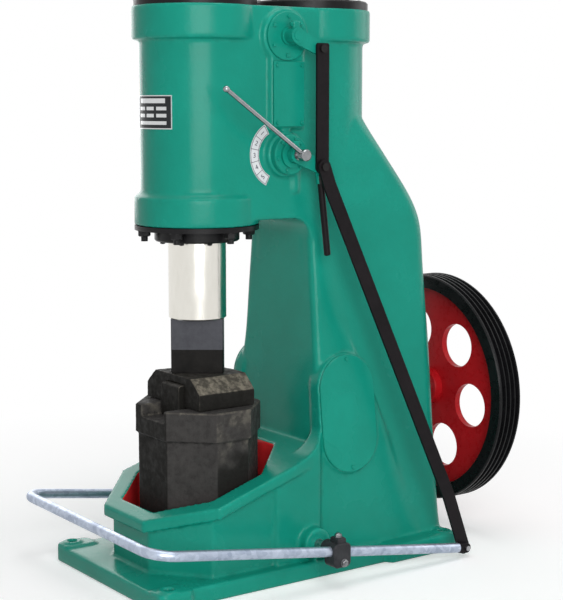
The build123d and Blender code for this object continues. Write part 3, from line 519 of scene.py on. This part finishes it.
def soft_copy(node, voxel, rounds):
    """The node's own shape with its corners softened, as foundry work leaves them."""
    mesh = NODES[node].data.copy()
    graph = bmesh.new()
    graph.from_mesh(mesh)
    bmesh.ops.remove_doubles(graph, verts=graph.verts, dist=1e-6)
    graph.to_mesh(mesh)
    graph.free()
    piece = bpy.data.objects.new(node + "_surface", mesh)
    bpy.context.scene.collection.objects.link(piece)
    remesh = piece.modifiers.new("even mesh", "REMESH")
    remesh.mode = "VOXEL"
    remesh.voxel_size = voxel
    soften = piece.modifiers.new("soft corners", "SMOOTH")
    soften.factor = 0.5
    soften.iterations = rounds
    plain_mesh(piece)
    return piece


def finish_surface(piece, node, material, most):
    count = sum(len(polygon.vertices) - 2 for polygon in piece.data.polygons)
    if count > most:
        thin = piece.modifiers.new("thin out", "DECIMATE")
        thin.ratio = most / count
        plain_mesh(piece)
    mesh = piece.data
    mesh.polygons.foreach_set("use_smooth", [True] * len(mesh.polygons))
    mesh.materials.clear()
    mesh.materials.append(material)
    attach(piece, "frame")
    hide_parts(node)


# Frame casting

CASTING_VOXEL = 0.0052
CASTING_SMOOTHING = 5
CASTING_TRIANGLES = 185000
CREASE_ROUNDS = 36
ANVIL_TRIANGLES = 90000
BEND_ROUNDS = 3
CASTING_BEND_GAIN = 90.0
ANVIL_BEND_GAIN = 150.0

# Where the thicker front of each side wall runs out: height, and place from front to rear
WALL_CREASE_Z = (0.05, 0.11, 0.22, 0.33, 0.43, 0.53, 0.63, 0.75, 0.93, 1.06, 1.18)
WALL_CREASE_Y = (0.680, 0.654, 0.610, 0.572, 0.536, 0.500, 0.462, 0.418, 0.382, 0.368, 0.362)

# The distances and heights over which the relaxing of that line fades in or out
CREASE_BAND = (0.020, 0.085)
CREASE_FOOT = (0.075, 0.12)
CREASE_TOP = (1.02, 1.16)
CREASE_LEAST_X = 0.13
PAD_HALF_STRAIGHT = 0.075
PAD_FADE = (0.122, 0.240)


def smooth_step(value, low, high):
    share = np.clip((value - low) / (high - low), 0.0, 1.0)
    return share * share * (3.0 - 2.0 * share)


def crease_weights(points):
    """Strong along the line where the thicker front of each side wall runs out, nothing on the cover pads."""
    x, y, z = points.T
    crease = np.interp(z, WALL_CREASE_Z, WALL_CREASE_Y)
    weights = 1.0 - smooth_step(np.abs(y - crease), *CREASE_BAND)
    weights *= smooth_step(z, *CREASE_FOOT) * (1.0 - smooth_step(z, *CREASE_TOP)) * (np.abs(x) > CREASE_LEAST_X)
    reach = np.maximum(0.0, np.abs(z - SIDE_COVER_Z) - PAD_HALF_STRAIGHT)
    return weights * smooth_step(np.hypot(y - SIDE_COVER_Y, reach), *PAD_FADE)


casting = soft_copy("frame_casting", CASTING_VOXEL, CASTING_SMOOTHING)
relax(casting.data, crease_weights(points_of(casting.data)), CREASE_ROUNDS)
store_bend(casting.data, BEND_ROUNDS, CASTING_BEND_GAIN)
finish_surface(casting, "frame_casting", ENAMEL, CASTING_TRIANGLES)


# Anvil

def roughen(mesh, depth, seed):
    shift = Vector((seed, seed * 0.7, -seed))
    points, normals = points_of(mesh), normals_of(mesh)
    heights = np.empty(len(points))
    for index, point in enumerate(points):
        place = Vector(point)
        slow = noise.noise(place * 17.0 + shift)
        quick = noise.noise(place * 62.0 - shift)
        fine = noise.noise(place * 150.0 + shift)
        heights[index] = 0.55 * slow + 0.32 * quick + 0.16 * fine - 0.5
    set_points(mesh, points + normals * (depth * heights)[:, None])


def store_mask(mesh, name, values):
    mesh.attributes.new(name, "FLOAT", "POINT").data.foreach_set("value", np.clip(values, 0.0, 1.0).astype(np.float32))


def store_front_shade_and_crust(mesh, points, normals, crust_low):
    """Painted shade on the front face, darker towards the foot of the sides, and scale on the bevels and high on the
    sides.
    """
    nx, ny, nz = np.abs(normals[:, 0]), normals[:, 1], normals[:, 2]
    wave = np.array([noise.noise(Vector(point) * 24.0) for point in points])
    side = smooth_step(nx, 0.75, 0.92)
    level = points[:, 2] - crust_low + 0.045 * wave
    front = smooth_step(-ny, 0.75, 0.92)
    # Faces turned to the front get painted shade, and the sides get darker below the scale line.
    store_mask(mesh, "front_shade_and_foot", front + side * (1.0 - smooth_step(level, -0.03, 0.03)))
    bevel = smooth_step(nz, 0.25, 0.45) * (1.0 - smooth_step(nz, 0.90, 0.97)) * smooth_step(nx, 0.2, 0.45)
    scale_patch = side * smooth_step(level, -0.01, 0.06) * smooth_step(wave, -0.35, 0.25)
    store_mask(mesh, "crust", bevel + 0.8 * scale_patch)


def rough_surface(node, voxel, depth, seed, crust_low, material):
    piece = soft_copy(node, voxel, 1)
    points, normals = points_of(piece.data), normals_of(piece.data)
    roughen(piece.data, depth, seed)
    store_bend(piece.data, BEND_ROUNDS, ANVIL_BEND_GAIN)
    store_front_shade_and_crust(piece.data, points, normals, crust_low)
    finish_surface(piece, node, material, ANVIL_TRIANGLES)


# Node, voxel, roughness depth, seed, height at which the scale begins, material
ANVIL_SKINS = (("anvil_block", 0.0034, 0.0014, 3.1, 0.370, ANVIL),
               ("anvil_cap", 0.0027, 0.0022, 7.7, 0.640, CAP_IRON),
               ("anvil_key", 0.0024, 0.0014, 5.2, 0.640, CAP_IRON))
for skin in ANVIL_SKINS:
    rough_surface(*skin)


# Fasteners, made by one node tree

def make_fastener_tree():
    """Hexagon heads with washers, on a ring or at the corners of a rectangle, facing local +Z."""
    tree = bpy.data.node_groups.new("fasteners", "GeometryNodeTree")
    inputs = [("Count", "NodeSocketInt", 6), ("Ring Radius", "NodeSocketFloat", 0.05),
              ("First Angle", "NodeSocketFloat", 0.0), ("Use Corners", "NodeSocketBool", False),
              ("Corner Width", "NodeSocketFloat", 0.1), ("Corner Height", "NodeSocketFloat", 0.1),
              ("Head Radius", "NodeSocketFloat", 0.01),
              ("Head Height", "NodeSocketFloat", 0.008), ("Washer Radius", "NodeSocketFloat", 0.012),
              ("Washer Height", "NodeSocketFloat", 0.002), ("Stud Radius", "NodeSocketFloat", 0.005),
              ("Stud Height", "NodeSocketFloat", 0.001), ("Place", "NodeSocketVector", (0.0, 0.0, 0.0)),
              ("Turn", "NodeSocketVector", (0.0, 0.0, 0.0)), ("Seed", "NodeSocketInt", 1),
              ("Finish", "NodeSocketMaterial", None)]
    for label, kind, value in inputs:
        socket = tree.interface.new_socket(name=label, in_out="INPUT", socket_type=kind)
        if value is not None:
            socket.default_value = value
    tree.interface.new_socket(name="Geometry", in_out="OUTPUT", socket_type="NodeSocketGeometry")
    source = tree.nodes.new("NodeGroupInput").outputs

    def node(kind, links=None, output=0, **settings):
        made = tree.nodes.new(kind)
        for key, value in settings.items():
            setattr(made, key, value)
        for label, value in (links or {}).items():
            if isinstance(value, bpy.types.NodeSocket):
                tree.links.new(value, made.inputs[label])
            else:
                made.inputs[label].default_value = value
        return made.outputs[output]

    def lifted(mesh, height):
        vector = node("ShaderNodeCombineXYZ", {"Z": height})
        return node("GeometryNodeTransform", {"Geometry": mesh, "Translation": vector})

    washer_height, head_height = source["Washer Height"], source["Head Height"]
    washer = node("GeometryNodeMeshCylinder", {"Vertices": 20, "Radius": source["Washer Radius"],
                                               "Depth": washer_height})
    washer = lifted(washer, calc(tree, "MULTIPLY", washer_height, 0.5))
    straight = calc(tree, "MULTIPLY", head_height, 0.82)
    head = node("GeometryNodeMeshCylinder", {"Vertices": 6, "Radius": source["Head Radius"], "Depth": straight})
    head = lifted(head, calc(tree, "ADD", washer_height, calc(tree, "MULTIPLY", straight, 0.5)))
    crown = node("GeometryNodeMeshCone", {"Vertices": 6, "Radius Bottom": source["Head Radius"],
                                          "Radius Top": calc(tree, "MULTIPLY", source["Head Radius"], 0.82),
                                          "Depth": calc(tree, "MULTIPLY", head_height, 0.18)})
    crown = lifted(crown, calc(tree, "ADD", washer_height, straight))
    stud = node("GeometryNodeMeshCylinder", {"Vertices": 16, "Radius": source["Stud Radius"],
                                             "Depth": source["Stud Height"]})
    top = calc(tree, "ADD", washer_height, head_height)
    stud = lifted(stud, calc(tree, "ADD", top, calc(tree, "MULTIPLY", source["Stud Height"], 0.5)))
    whole = tree.nodes.new("GeometryNodeJoinGeometry")
    for part in (washer, head, crown, stud):
        tree.links.new(part, whole.inputs[0])
    ring = node("GeometryNodeMeshLine", {"Count": source["Count"], "Offset": (0.0, 0.0, 0.0)})
    index = node("GeometryNodeInputIndex")
    step = calc(tree, "DIVIDE", 2.0 * math.pi, source["Count"])
    angle = calc(tree, "ADD", source["First Angle"], calc(tree, "MULTIPLY", index, step))
    spot = node("ShaderNodeCombineXYZ", {
        "X": calc(tree, "MULTIPLY", calc(tree, "COSINE", angle), source["Ring Radius"]),
        "Y": calc(tree, "MULTIPLY", calc(tree, "SINE", angle), source["Ring Radius"])})
    ring = node("GeometryNodeSetPosition", {"Geometry": ring, "Position": spot})
    corners = node("GeometryNodeMeshGrid", {"Size X": source["Corner Width"], "Size Y": source["Corner Height"],
                                            "Vertices X": 2, "Vertices Y": 2})
    points = node("GeometryNodeSwitch", {"Switch": source["Use Corners"], "False": ring, "True": corners},
                  input_type="GEOMETRY")
    spin = tree.nodes.new("FunctionNodeRandomValue")
    spin.data_type = "FLOAT"
    spin.inputs[3].default_value = math.pi / 3.0
    tree.links.new(source["Seed"], spin.inputs["Seed"])
    spun = node("ShaderNodeCombineXYZ", {"Z": spin.outputs[1]})
    placed = node("GeometryNodeInstanceOnPoints", {"Points": points, "Instance": whole.outputs[0], "Rotation": spun})
    real = node("GeometryNodeRealizeInstances", {"Geometry": placed})
    turned = node("GeometryNodeTransform", {"Geometry": real, "Translation": source["Place"],
                                            "Rotation": source["Turn"]})
    coated = node("GeometryNodeSetMaterial", {"Geometry": turned, "Material": source["Finish"]})
    tree.links.new(coated, tree.nodes.new("NodeGroupOutput").inputs[0])
    return tree


FASTENERS = make_fastener_tree()
FACING = {"up": (0.0, 0.0, 0.0), "down": (math.pi, 0.0, 0.0), "right": (math.pi / 2, 0.0, math.pi / 2),
          "left": (math.pi / 2, 0.0, -math.pi / 2), "front": (math.pi / 2, 0.0, 0.0), "rear": (-math.pi / 2, 0.0, 0.0)}


def fasteners(name, body, finish, place, facing, **sizes):
    """A set of heads; a size is named as in the node tree, with underscores."""
    piece = bpy.data.objects.new(name, bpy.data.meshes.new(name))
    bpy.context.scene.collection.objects.link(piece)
    modifier = piece.modifiers.new("fasteners", "NODES")
    modifier.node_group = FASTENERS
    values = {"Place": place, "Turn": FACING[facing] if isinstance(facing, str) else facing, "Finish": finish}
    values.update({key.replace("_", " ").title(): value for key, value in sizes.items()})
    for item in FASTENERS.interface.items_tree:
        if item.in_out == "INPUT" and item.name in values:
            modifier[item.identifier] = values[item.name]
    piece.update_tag()
    plain_mesh(piece)
    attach(piece, body)


def head_sizes(radius, stud=0.0008):
    """A hexagon head and washer in the usual proportions to its radius."""
    return dict(head_radius=radius, head_height=radius * 0.68, washer_radius=radius * 1.18, washer_height=radius * 0.17,
                stud_radius=radius * 0.5, stud_height=stud)


SMALL_HEAD = head_sizes(0.0062)
COVER_HEAD = head_sizes(0.0078)
MIDDLE_HEAD = head_sizes(0.0105, 0.0030)
GLAND_STUD_RING = 0.156
TOP_COVER_RING = 0.152
GLAND_SCREW_RING = 0.107
UPPER_COVER_RING = 0.056
LOW_COVER_RING = 0.0475
BEARING_RING = 0.084
SIDE_COVER_RING = 0.164
SHAFT_BOLT_RING = 0.020
PORT_SCREWS_WIDE = 0.087
PORT_SCREWS_TALL = 0.165
CLAMP_BOLT_BEHIND = 0.004
CLAMP_BOLT_BELOW = 0.029
SHAFT_BOLT_SUNK = 0.004

fasteners("gland_studs", "frame", BLACK_NUT, (0.0, 0.0, GLAND_PLATE_LOW), "down", count=6,
          ring_radius=GLAND_STUD_RING, first_angle=math.radians(-6), head_radius=0.0185, head_height=0.016,
          washer_radius=0.0200, washer_height=0.004, stud_radius=0.0100, stud_height=0.014, seed=3)
for label, y in (("front", 0.0), ("rear", REAR_CYLINDER_Y)):
    fasteners(label + "_top_cover_bolts", "frame", BLACK_NUT, (0.0, y, COVER_TOP), "up", count=8,
              ring_radius=TOP_COVER_RING, first_angle=math.radians(11), seed=2, **COVER_HEAD)
fasteners("gland_ring_screws", "frame", BLACK_NUT, (0.0, 0.0, GLAND_RING_LOW), "down", count=8,
          ring_radius=GLAND_SCREW_RING, first_angle=math.radians(12), seed=4, **COVER_HEAD)
fasteners("upper_cover_screws", "frame", ENAMEL_SMALL, (UPPER_COVER_FACE, VALVE_Y, UPPER_VALVE_Z), "right", count=6,
          ring_radius=UPPER_COVER_RING, first_angle=math.radians(28), seed=5, **SMALL_HEAD)
fasteners("low_cover_screws", "frame", ENAMEL_SMALL, (LOW_COVER_FACE, VALVE_Y, LOW_VALVE_Z), "right", count=6,
          ring_radius=LOW_COVER_RING, first_angle=math.radians(12), seed=6, **SMALL_HEAD)
fasteners("port_cover_screws", "frame", ENAMEL_SMALL, (PORT_COVER_FACE, *PORT_CENTRE), "right", use_corners=True,
          corner_width=PORT_SCREWS_WIDE, corner_height=PORT_SCREWS_TALL, seed=7, **SMALL_HEAD)
fasteners("bearing_bolts", "frame", BOLT_STEEL, (0.0, BEARING_FACE, WHEEL_Z), "rear", count=6,
          ring_radius=BEARING_RING, seed=8, **COVER_HEAD)


def side_cover_screws(side, name):
    lean = math.radians(SIDE_COVER_LEAN)
    out = Vector((side * math.cos(lean), 0.0, math.sin(lean)))
    along = Vector((-side * math.sin(lean), 0.0, math.cos(lean)))
    centre = Vector((side * SIDE_COVER_WALL_X, SIDE_COVER_Y, SIDE_COVER_Z)) + out * SIDE_COVER_THICKNESS
    turn = Matrix((Vector((0.0, side, 0.0)), along, out)).transposed().to_euler()
    fasteners(name, "frame", ENAMEL_SMALL, tuple(centre), tuple(turn), count=2,
              ring_radius=SIDE_COVER_RING, first_angle=math.pi / 2, seed=9, **SMALL_HEAD)


for label, side in (("right", 1), ("left", -1)):
    side_cover_screws(side, "side_cover_screws_" + label)
    clamp_side = (side * CLAMP_FACE, PIVOT_Y + CLAMP_BOLT_BEHIND, PIVOT_Z - CLAMP_BOLT_BELOW)
    fasteners("clamp_bolt_" + label, "treadle", BOLT_STEEL, clamp_side, label, count=1, ring_radius=0.0, seed=10,
              **MIDDLE_HEAD)
    clamp_top = (side * CLAMP_X, PIVOT_Y, PIVOT_Z + CLAMP_TOP_ABOVE_PIVOT)
    fasteners("clamp_nut_" + label, "treadle", BOLT_STEEL, clamp_top, "up", count=1, ring_radius=0.0, seed=12,
              **MIDDLE_HEAD)
fasteners("shaft_end_bolts", "flywheel", BOLT_STEEL, (0.0, SHAFT_END - SHAFT_BOLT_SUNK, WHEEL_Z), "rear", count=3,
          ring_radius=SHAFT_BOLT_RING, seed=13, head_radius=0.0060, head_height=0.0024, washer_radius=0.0066,
          washer_height=0.0008, stud_radius=0.003, stud_height=0.0006)


# Clamping lugs on the lever hubs

def rounded_block(name, low, high, bevel, material, body):
    graph = bmesh.new()
    bmesh.ops.create_cube(graph, size=1.0)
    middle = (Vector(low) + Vector(high)) / 2
    size = Vector(high) - Vector(low)
    for vertex in graph.verts:
        vertex.co = Vector([vertex.co[axis] * size[axis] for axis in range(3)]) + middle
    bmesh.ops.bevel(graph, geom=graph.edges[:], offset=bevel, segments=3, profile=0.5, affect="EDGES")
    mesh = bpy.data.meshes.new(name)
    graph.to_mesh(mesh)
    graph.free()
    mesh.polygons.foreach_set("use_smooth", [True] * len(mesh.polygons))
    return add_piece(name, mesh, material, body)


LUG_LOW_X = 0.2175
LUG_HIGH_X = 0.2335
LUG_BOLT_X = 0.2255
LUG_HALF_LENGTH = 0.012
LUG_LOW = 0.016
LUG_HIGH = 0.041
LUG_BOLT = 0.033
LUG_BEVEL = 0.0035

for label, body, height in (("low", "low_lever", LOW_VALVE_Z), ("upper", "upper_lever", UPPER_VALVE_Z)):
    front, rear = VALVE_Y - LUG_HALF_LENGTH, VALVE_Y + LUG_HALF_LENGTH
    rounded_block(label + "_lever_lug", (LUG_LOW_X, front, height + LUG_LOW), (LUG_HIGH_X, rear, height + LUG_HIGH),
                  LUG_BEVEL, ENAMEL_SMALL, body)
    fasteners(label + "_lever_lug_bolt", body, ENAMEL_SMALL, (LUG_BOLT_X, front, height + LUG_BOLT), "front",
              count=1, ring_radius=0.0, seed=14, **head_sizes(0.0070, 0.0010))
    fasteners(label + "_lever_lug_nut", body, ENAMEL_SMALL, (LUG_BOLT_X, rear, height + LUG_BOLT), "rear",
              count=1, ring_radius=0.0, seed=15, **head_sizes(0.0070, 0.0040))


# Plates

def bar_piece(name, rows, material):
    """One piece from lists of four-cornered cross-sections, each list a closed bar."""
    graph = bmesh.new()
    for sections in rows:
        rings = [[graph.verts.new(point) for point in section] for section in sections]
        for here, there in zip(rings, rings[1:]):
            for index in range(4):
                other = (index + 1) % 4
                graph.faces.new((here[index], here[other], there[other], there[index]))
        graph.faces.new(rings[0][::-1])
        graph.faces.new(rings[-1])
    bmesh.ops.recalc_face_normals(graph, faces=graph.faces)
    mesh = bpy.data.meshes.new(name)
    graph.to_mesh(mesh)
    graph.free()
    return add_piece(name, mesh, material, "frame")


def arc_on_wall(inner, outer, first, last, low, high, steps):
    """Sections of a flat ring on the side wall round the lower valve, angles seen from +X, zero to the rear."""
    sections = []
    for step in range(steps + 1):
        angle = math.radians(first + (last - first) * step / steps)
        sections.append([(WALL_X + out, INDEX_Y + radius * math.cos(angle), LOW_VALVE_Z + radius * math.sin(angle))
                         for radius, out in ((inner, low), (outer, low), (outer, high), (inner, high))])
    return sections


INDEX_Y = 0.176
INDEX_FIRST = 118.0
INDEX_LAST = 244.0
INDEX_FIELDS = 5
INDEX_IN = 0.0700
INDEX_OUT = 0.0970
INDEX_EDGE_IN = 0.0680
INDEX_EDGE_OUT = 0.0985
INDEX_MARGIN = 2
INDEX_SUNK = -0.0005
INDEX_FACE = 0.0022
INK_LOW = 0.0020
INK_HIGH = 0.0025
INK_WIDTH = 0.0014
TICK_INSET = 0.001
TICK_HALF_ANGLE = 0.5
NUMBER_RADIUS = 0.0835
NUMBER_SIZE = 0.020
NUMBER_HALF_THICKNESS = 0.00025
NUMBER_LIFT = 0.0023
FIELD_ANGLE = (INDEX_LAST - INDEX_FIRST - 2.0 * INDEX_MARGIN) / INDEX_FIELDS

dial = arc_on_wall(INDEX_EDGE_IN, INDEX_EDGE_OUT, INDEX_FIRST, INDEX_LAST, INDEX_SUNK, INDEX_FACE, 48)
bar_piece("index_plate", [dial], PLATE_WHITE)
ink = [arc_on_wall(radius, radius + INK_WIDTH, INDEX_FIRST + INDEX_MARGIN, INDEX_LAST - INDEX_MARGIN,
                   INK_LOW, INK_HIGH, 40)
       for radius in (INDEX_IN, INDEX_OUT - INK_WIDTH)]
for field in range(INDEX_FIELDS + 1):
    middle = INDEX_FIRST + INDEX_MARGIN + FIELD_ANGLE * field
    ink.append(arc_on_wall(INDEX_IN + TICK_INSET, INDEX_OUT - TICK_INSET, middle - TICK_HALF_ANGLE,
                           middle + TICK_HALF_ANGLE, INK_LOW, INK_HIGH, 1))
bar_piece("index_lines", ink, PLATE_INK)


def dial_number(text, angle_degrees, radius):
    name = "index_number_" + text
    curve = bpy.data.curves.new(name, "FONT")
    curve.body = text
    curve.size = NUMBER_SIZE
    curve.align_x = "CENTER"
    curve.align_y = "CENTER"
    curve.extrude = NUMBER_HALF_THICKNESS
    writing = bpy.data.objects.new(name, curve)
    bpy.context.scene.collection.objects.link(writing)
    mesh = bpy.data.meshes.new_from_object(writing.evaluated_get(bpy.context.evaluated_depsgraph_get()))
    bpy.data.objects.remove(writing)
    angle = math.radians(angle_degrees)
    wall = Matrix(((0, 0, 1, WALL_X + NUMBER_LIFT), (1, 0, 0, INDEX_Y), (0, 1, 0, LOW_VALVE_Z), (0, 0, 0, 1)))
    shift = Matrix.Translation((radius * math.cos(angle), radius * math.sin(angle), 0.0))
    mesh.transform(wall @ shift @ Matrix.Rotation(angle - math.pi, 4, "Z"))
    add_piece(name, mesh, PLATE_INK, "frame")


for number in range(INDEX_FIELDS):
    dial_number(str(number + 1), INDEX_FIRST + INDEX_MARGIN + FIELD_ANGLE * (number + 0.5), NUMBER_RADIUS)

PLATE_MIDDLE = math.radians(-84)
PLATE_HALF = 0.080
PLATE_LOW = 1.328
PLATE_TALL = 0.096
PLATE_RIM = 0.0028
PLATE_INSET = 0.001
PLATE_SUNK = -0.0004
RIM_FACE = 0.0026
CELL_SUNK = 0.0012
CELL_FACE = 0.0019
FIELD_FACE = 0.0016


def bent_on_cylinder(x0, x1, z0, z1, low, high, steps=24):
    """Sections of a panel bent round the front cylinder, x along the arc from the plate's middle, z from its foot."""
    sections = []
    for step in range(steps + 1):
        angle = PLATE_MIDDLE + (x0 + (x1 - x0) * step / steps) / CYLINDER_R
        corners = ((low, z0), (high, z0), (high, z1), (low, z1))
        across, along = math.cos(angle), math.sin(angle)
        sections.append([((CYLINDER_R + height) * across, (CYLINDER_R + height) * along, PLATE_LOW + z)
                         for height, z in corners])
    return sections


rims = []
for z0, z1 in ((0.0, PLATE_RIM), (PLATE_TALL - PLATE_RIM, PLATE_TALL)):
    rims.append(bent_on_cylinder(-PLATE_HALF, PLATE_HALF, z0, z1, PLATE_SUNK, RIM_FACE))
for x0, x1 in ((-PLATE_HALF, PLATE_RIM - PLATE_HALF), (PLATE_HALF - PLATE_RIM, PLATE_HALF)):
    rims.append(bent_on_cylinder(x0, x1, PLATE_RIM, PLATE_TALL - PLATE_RIM, PLATE_SUNK, RIM_FACE, 2))
# Rows of blank cells: foot, top, and the ends of each cell along the plate
FIELD_ROWS = ((0.0735, 0.0870, (-0.058, 0.058)), (0.0535, 0.0635, (-0.062, -0.028, -0.018, 0.016, 0.026, 0.062)),
              (0.0335, 0.0435, (-0.062, -0.028, -0.018, 0.016, 0.026, 0.062)), (0.0125, 0.0225, (-0.062, 0.062)))
rims += [bent_on_cylinder(x0, x1, z0, z1, CELL_SUNK, CELL_FACE, 8)
         for z0, z1, ends in FIELD_ROWS for x0, x1 in zip(ends[::2], ends[1::2])]
bar_piece("name_plate_rim_and_cells", rims, PLATE_METAL)
panel = bent_on_cylinder(PLATE_INSET - PLATE_HALF, PLATE_HALF - PLATE_INSET, PLATE_INSET, PLATE_TALL - PLATE_INSET,
                         PLATE_SUNK, FIELD_FACE)
bar_piece("name_plate", [panel], PLATE_DARK)


# Floor, backdrop and light

def background_rays(tree):
    """One for what the camera sees directly, in reflections and through glass."""
    path = tree.nodes.new("ShaderNodeLightPath")
    shown = calc(tree, "MAXIMUM", path.outputs["Is Camera Ray"], path.outputs["Is Glossy Ray"])
    return calc(tree, "MAXIMUM", shown, path.outputs["Is Transmission Ray"])


def mix_shaders(tree, factor, first, second):
    node = tree.nodes.new("ShaderNodeMixShader")
    tree.links.new(factor, node.inputs["Fac"])
    tree.links.new(first, node.inputs[1])
    tree.links.new(second, node.inputs[2])
    return node.outputs[0]


FLOOR_REACH = 30.0
FLOOR_LIFT = 0.30
FLOOR_FADE = (0.8, 2.4)
WORLD_STRENGTH = 0.20


def floor_material():
    """Pale floor that keeps the soft shadow and fades into the white behind."""
    material, tree, principled = new_material("studio_floor")
    output = [node for node in tree.nodes if node.type == "OUTPUT_MATERIAL"][0]
    principled.inputs["Base Color"].default_value = (0.84, 0.84, 0.84, 1.0)
    principled.inputs["Roughness"].default_value = 0.9
    principled.inputs["Specular IOR Level"].default_value = 0.1
    white = tree.nodes.new("ShaderNodeEmission")
    white.inputs["Strength"].default_value = 1.0
    lift = tree.nodes.new("ShaderNodeEmission")
    lift.inputs["Strength"].default_value = FLOOR_LIFT
    add = tree.nodes.new("ShaderNodeAddShader")
    tree.links.new(principled.outputs["BSDF"], add.inputs[0])
    tree.links.new(lift.outputs[0], add.inputs[1])
    length = tree.nodes.new("ShaderNodeVectorMath")
    length.operation = "LENGTH"
    tree.links.new(object_place(tree), length.inputs[0])
    far = map_range(tree, length.outputs["Value"], *FLOOR_FADE)
    pale = mix_shaders(tree, far, add.outputs[0], white.outputs[0])
    tree.links.new(mix_shaders(tree, background_rays(tree), principled.outputs["BSDF"], pale), output.inputs["Surface"])
    return material


def make_floor():
    mesh = bpy.data.meshes.new("studio_floor")
    corners = [(x * FLOOR_REACH, y * FLOOR_REACH, 0.0) for x, y in ((-1, -1), (1, -1), (1, 1), (-1, 1))]
    mesh.from_pydata(corners, [], [(0, 1, 2, 3)])
    floor = bpy.data.objects.new("studio_floor", mesh)
    bpy.context.scene.collection.objects.link(floor)
    mesh.materials.append(floor_material())


def make_world(strength):
    world = bpy.data.worlds.new("studio")
    bpy.context.scene.world = world
    world.use_nodes = True
    tree = world.node_tree
    tree.nodes.clear()
    output = tree.nodes.new("ShaderNodeOutputWorld")
    light = tree.nodes.new("ShaderNodeBackground")
    light.inputs["Color"].default_value = (1.0, 1.0, 1.0, 1.0)
    light.inputs["Strength"].default_value = strength
    seen = tree.nodes.new("ShaderNodeBackground")
    seen.inputs["Color"].default_value = (1.0, 1.0, 1.0, 1.0)
    seen.inputs["Strength"].default_value = 1.0
    both = mix_shaders(tree, background_rays(tree), light.outputs[0], seen.outputs[0])
    tree.links.new(both, output.inputs["Surface"])


# Name, place, target, width, height, watts
SOFT_LIGHTS = (("key_right", (4.3, -1.8, 2.2), (0.0, 0.1, 0.8), 3.2, 3.0, 168),
               ("top_soft", (0.6, 0.2, 4.6), (0.0, 0.2, 0.6), 2.6, 2.6, 60),
               ("fill_left", (-4.2, 0.8, 2.2), (0.0, 0.3, 0.8), 3.0, 3.0, 52),
               ("fill_rear", (1.0, 5.0, 2.4), (0.0, 0.3, 0.8), 3.0, 3.0, 40))


def soft_light(name, place, target, width, height, watts):
    data = bpy.data.lights.new(name, "AREA")
    data.shape = "RECTANGLE"
    data.size = width
    data.size_y = height
    data.energy = watts
    light = bpy.data.objects.new(name, data)
    light.location = place
    light.rotation_mode = "QUATERNION"
    light.rotation_quaternion = (Vector(target) - Vector(place)).to_track_quat("-Z", "Y")
    bpy.context.scene.collection.objects.link(light)


make_floor()
make_world(WORLD_STRENGTH)
for row in SOFT_LIGHTS:
    soft_light(*row)
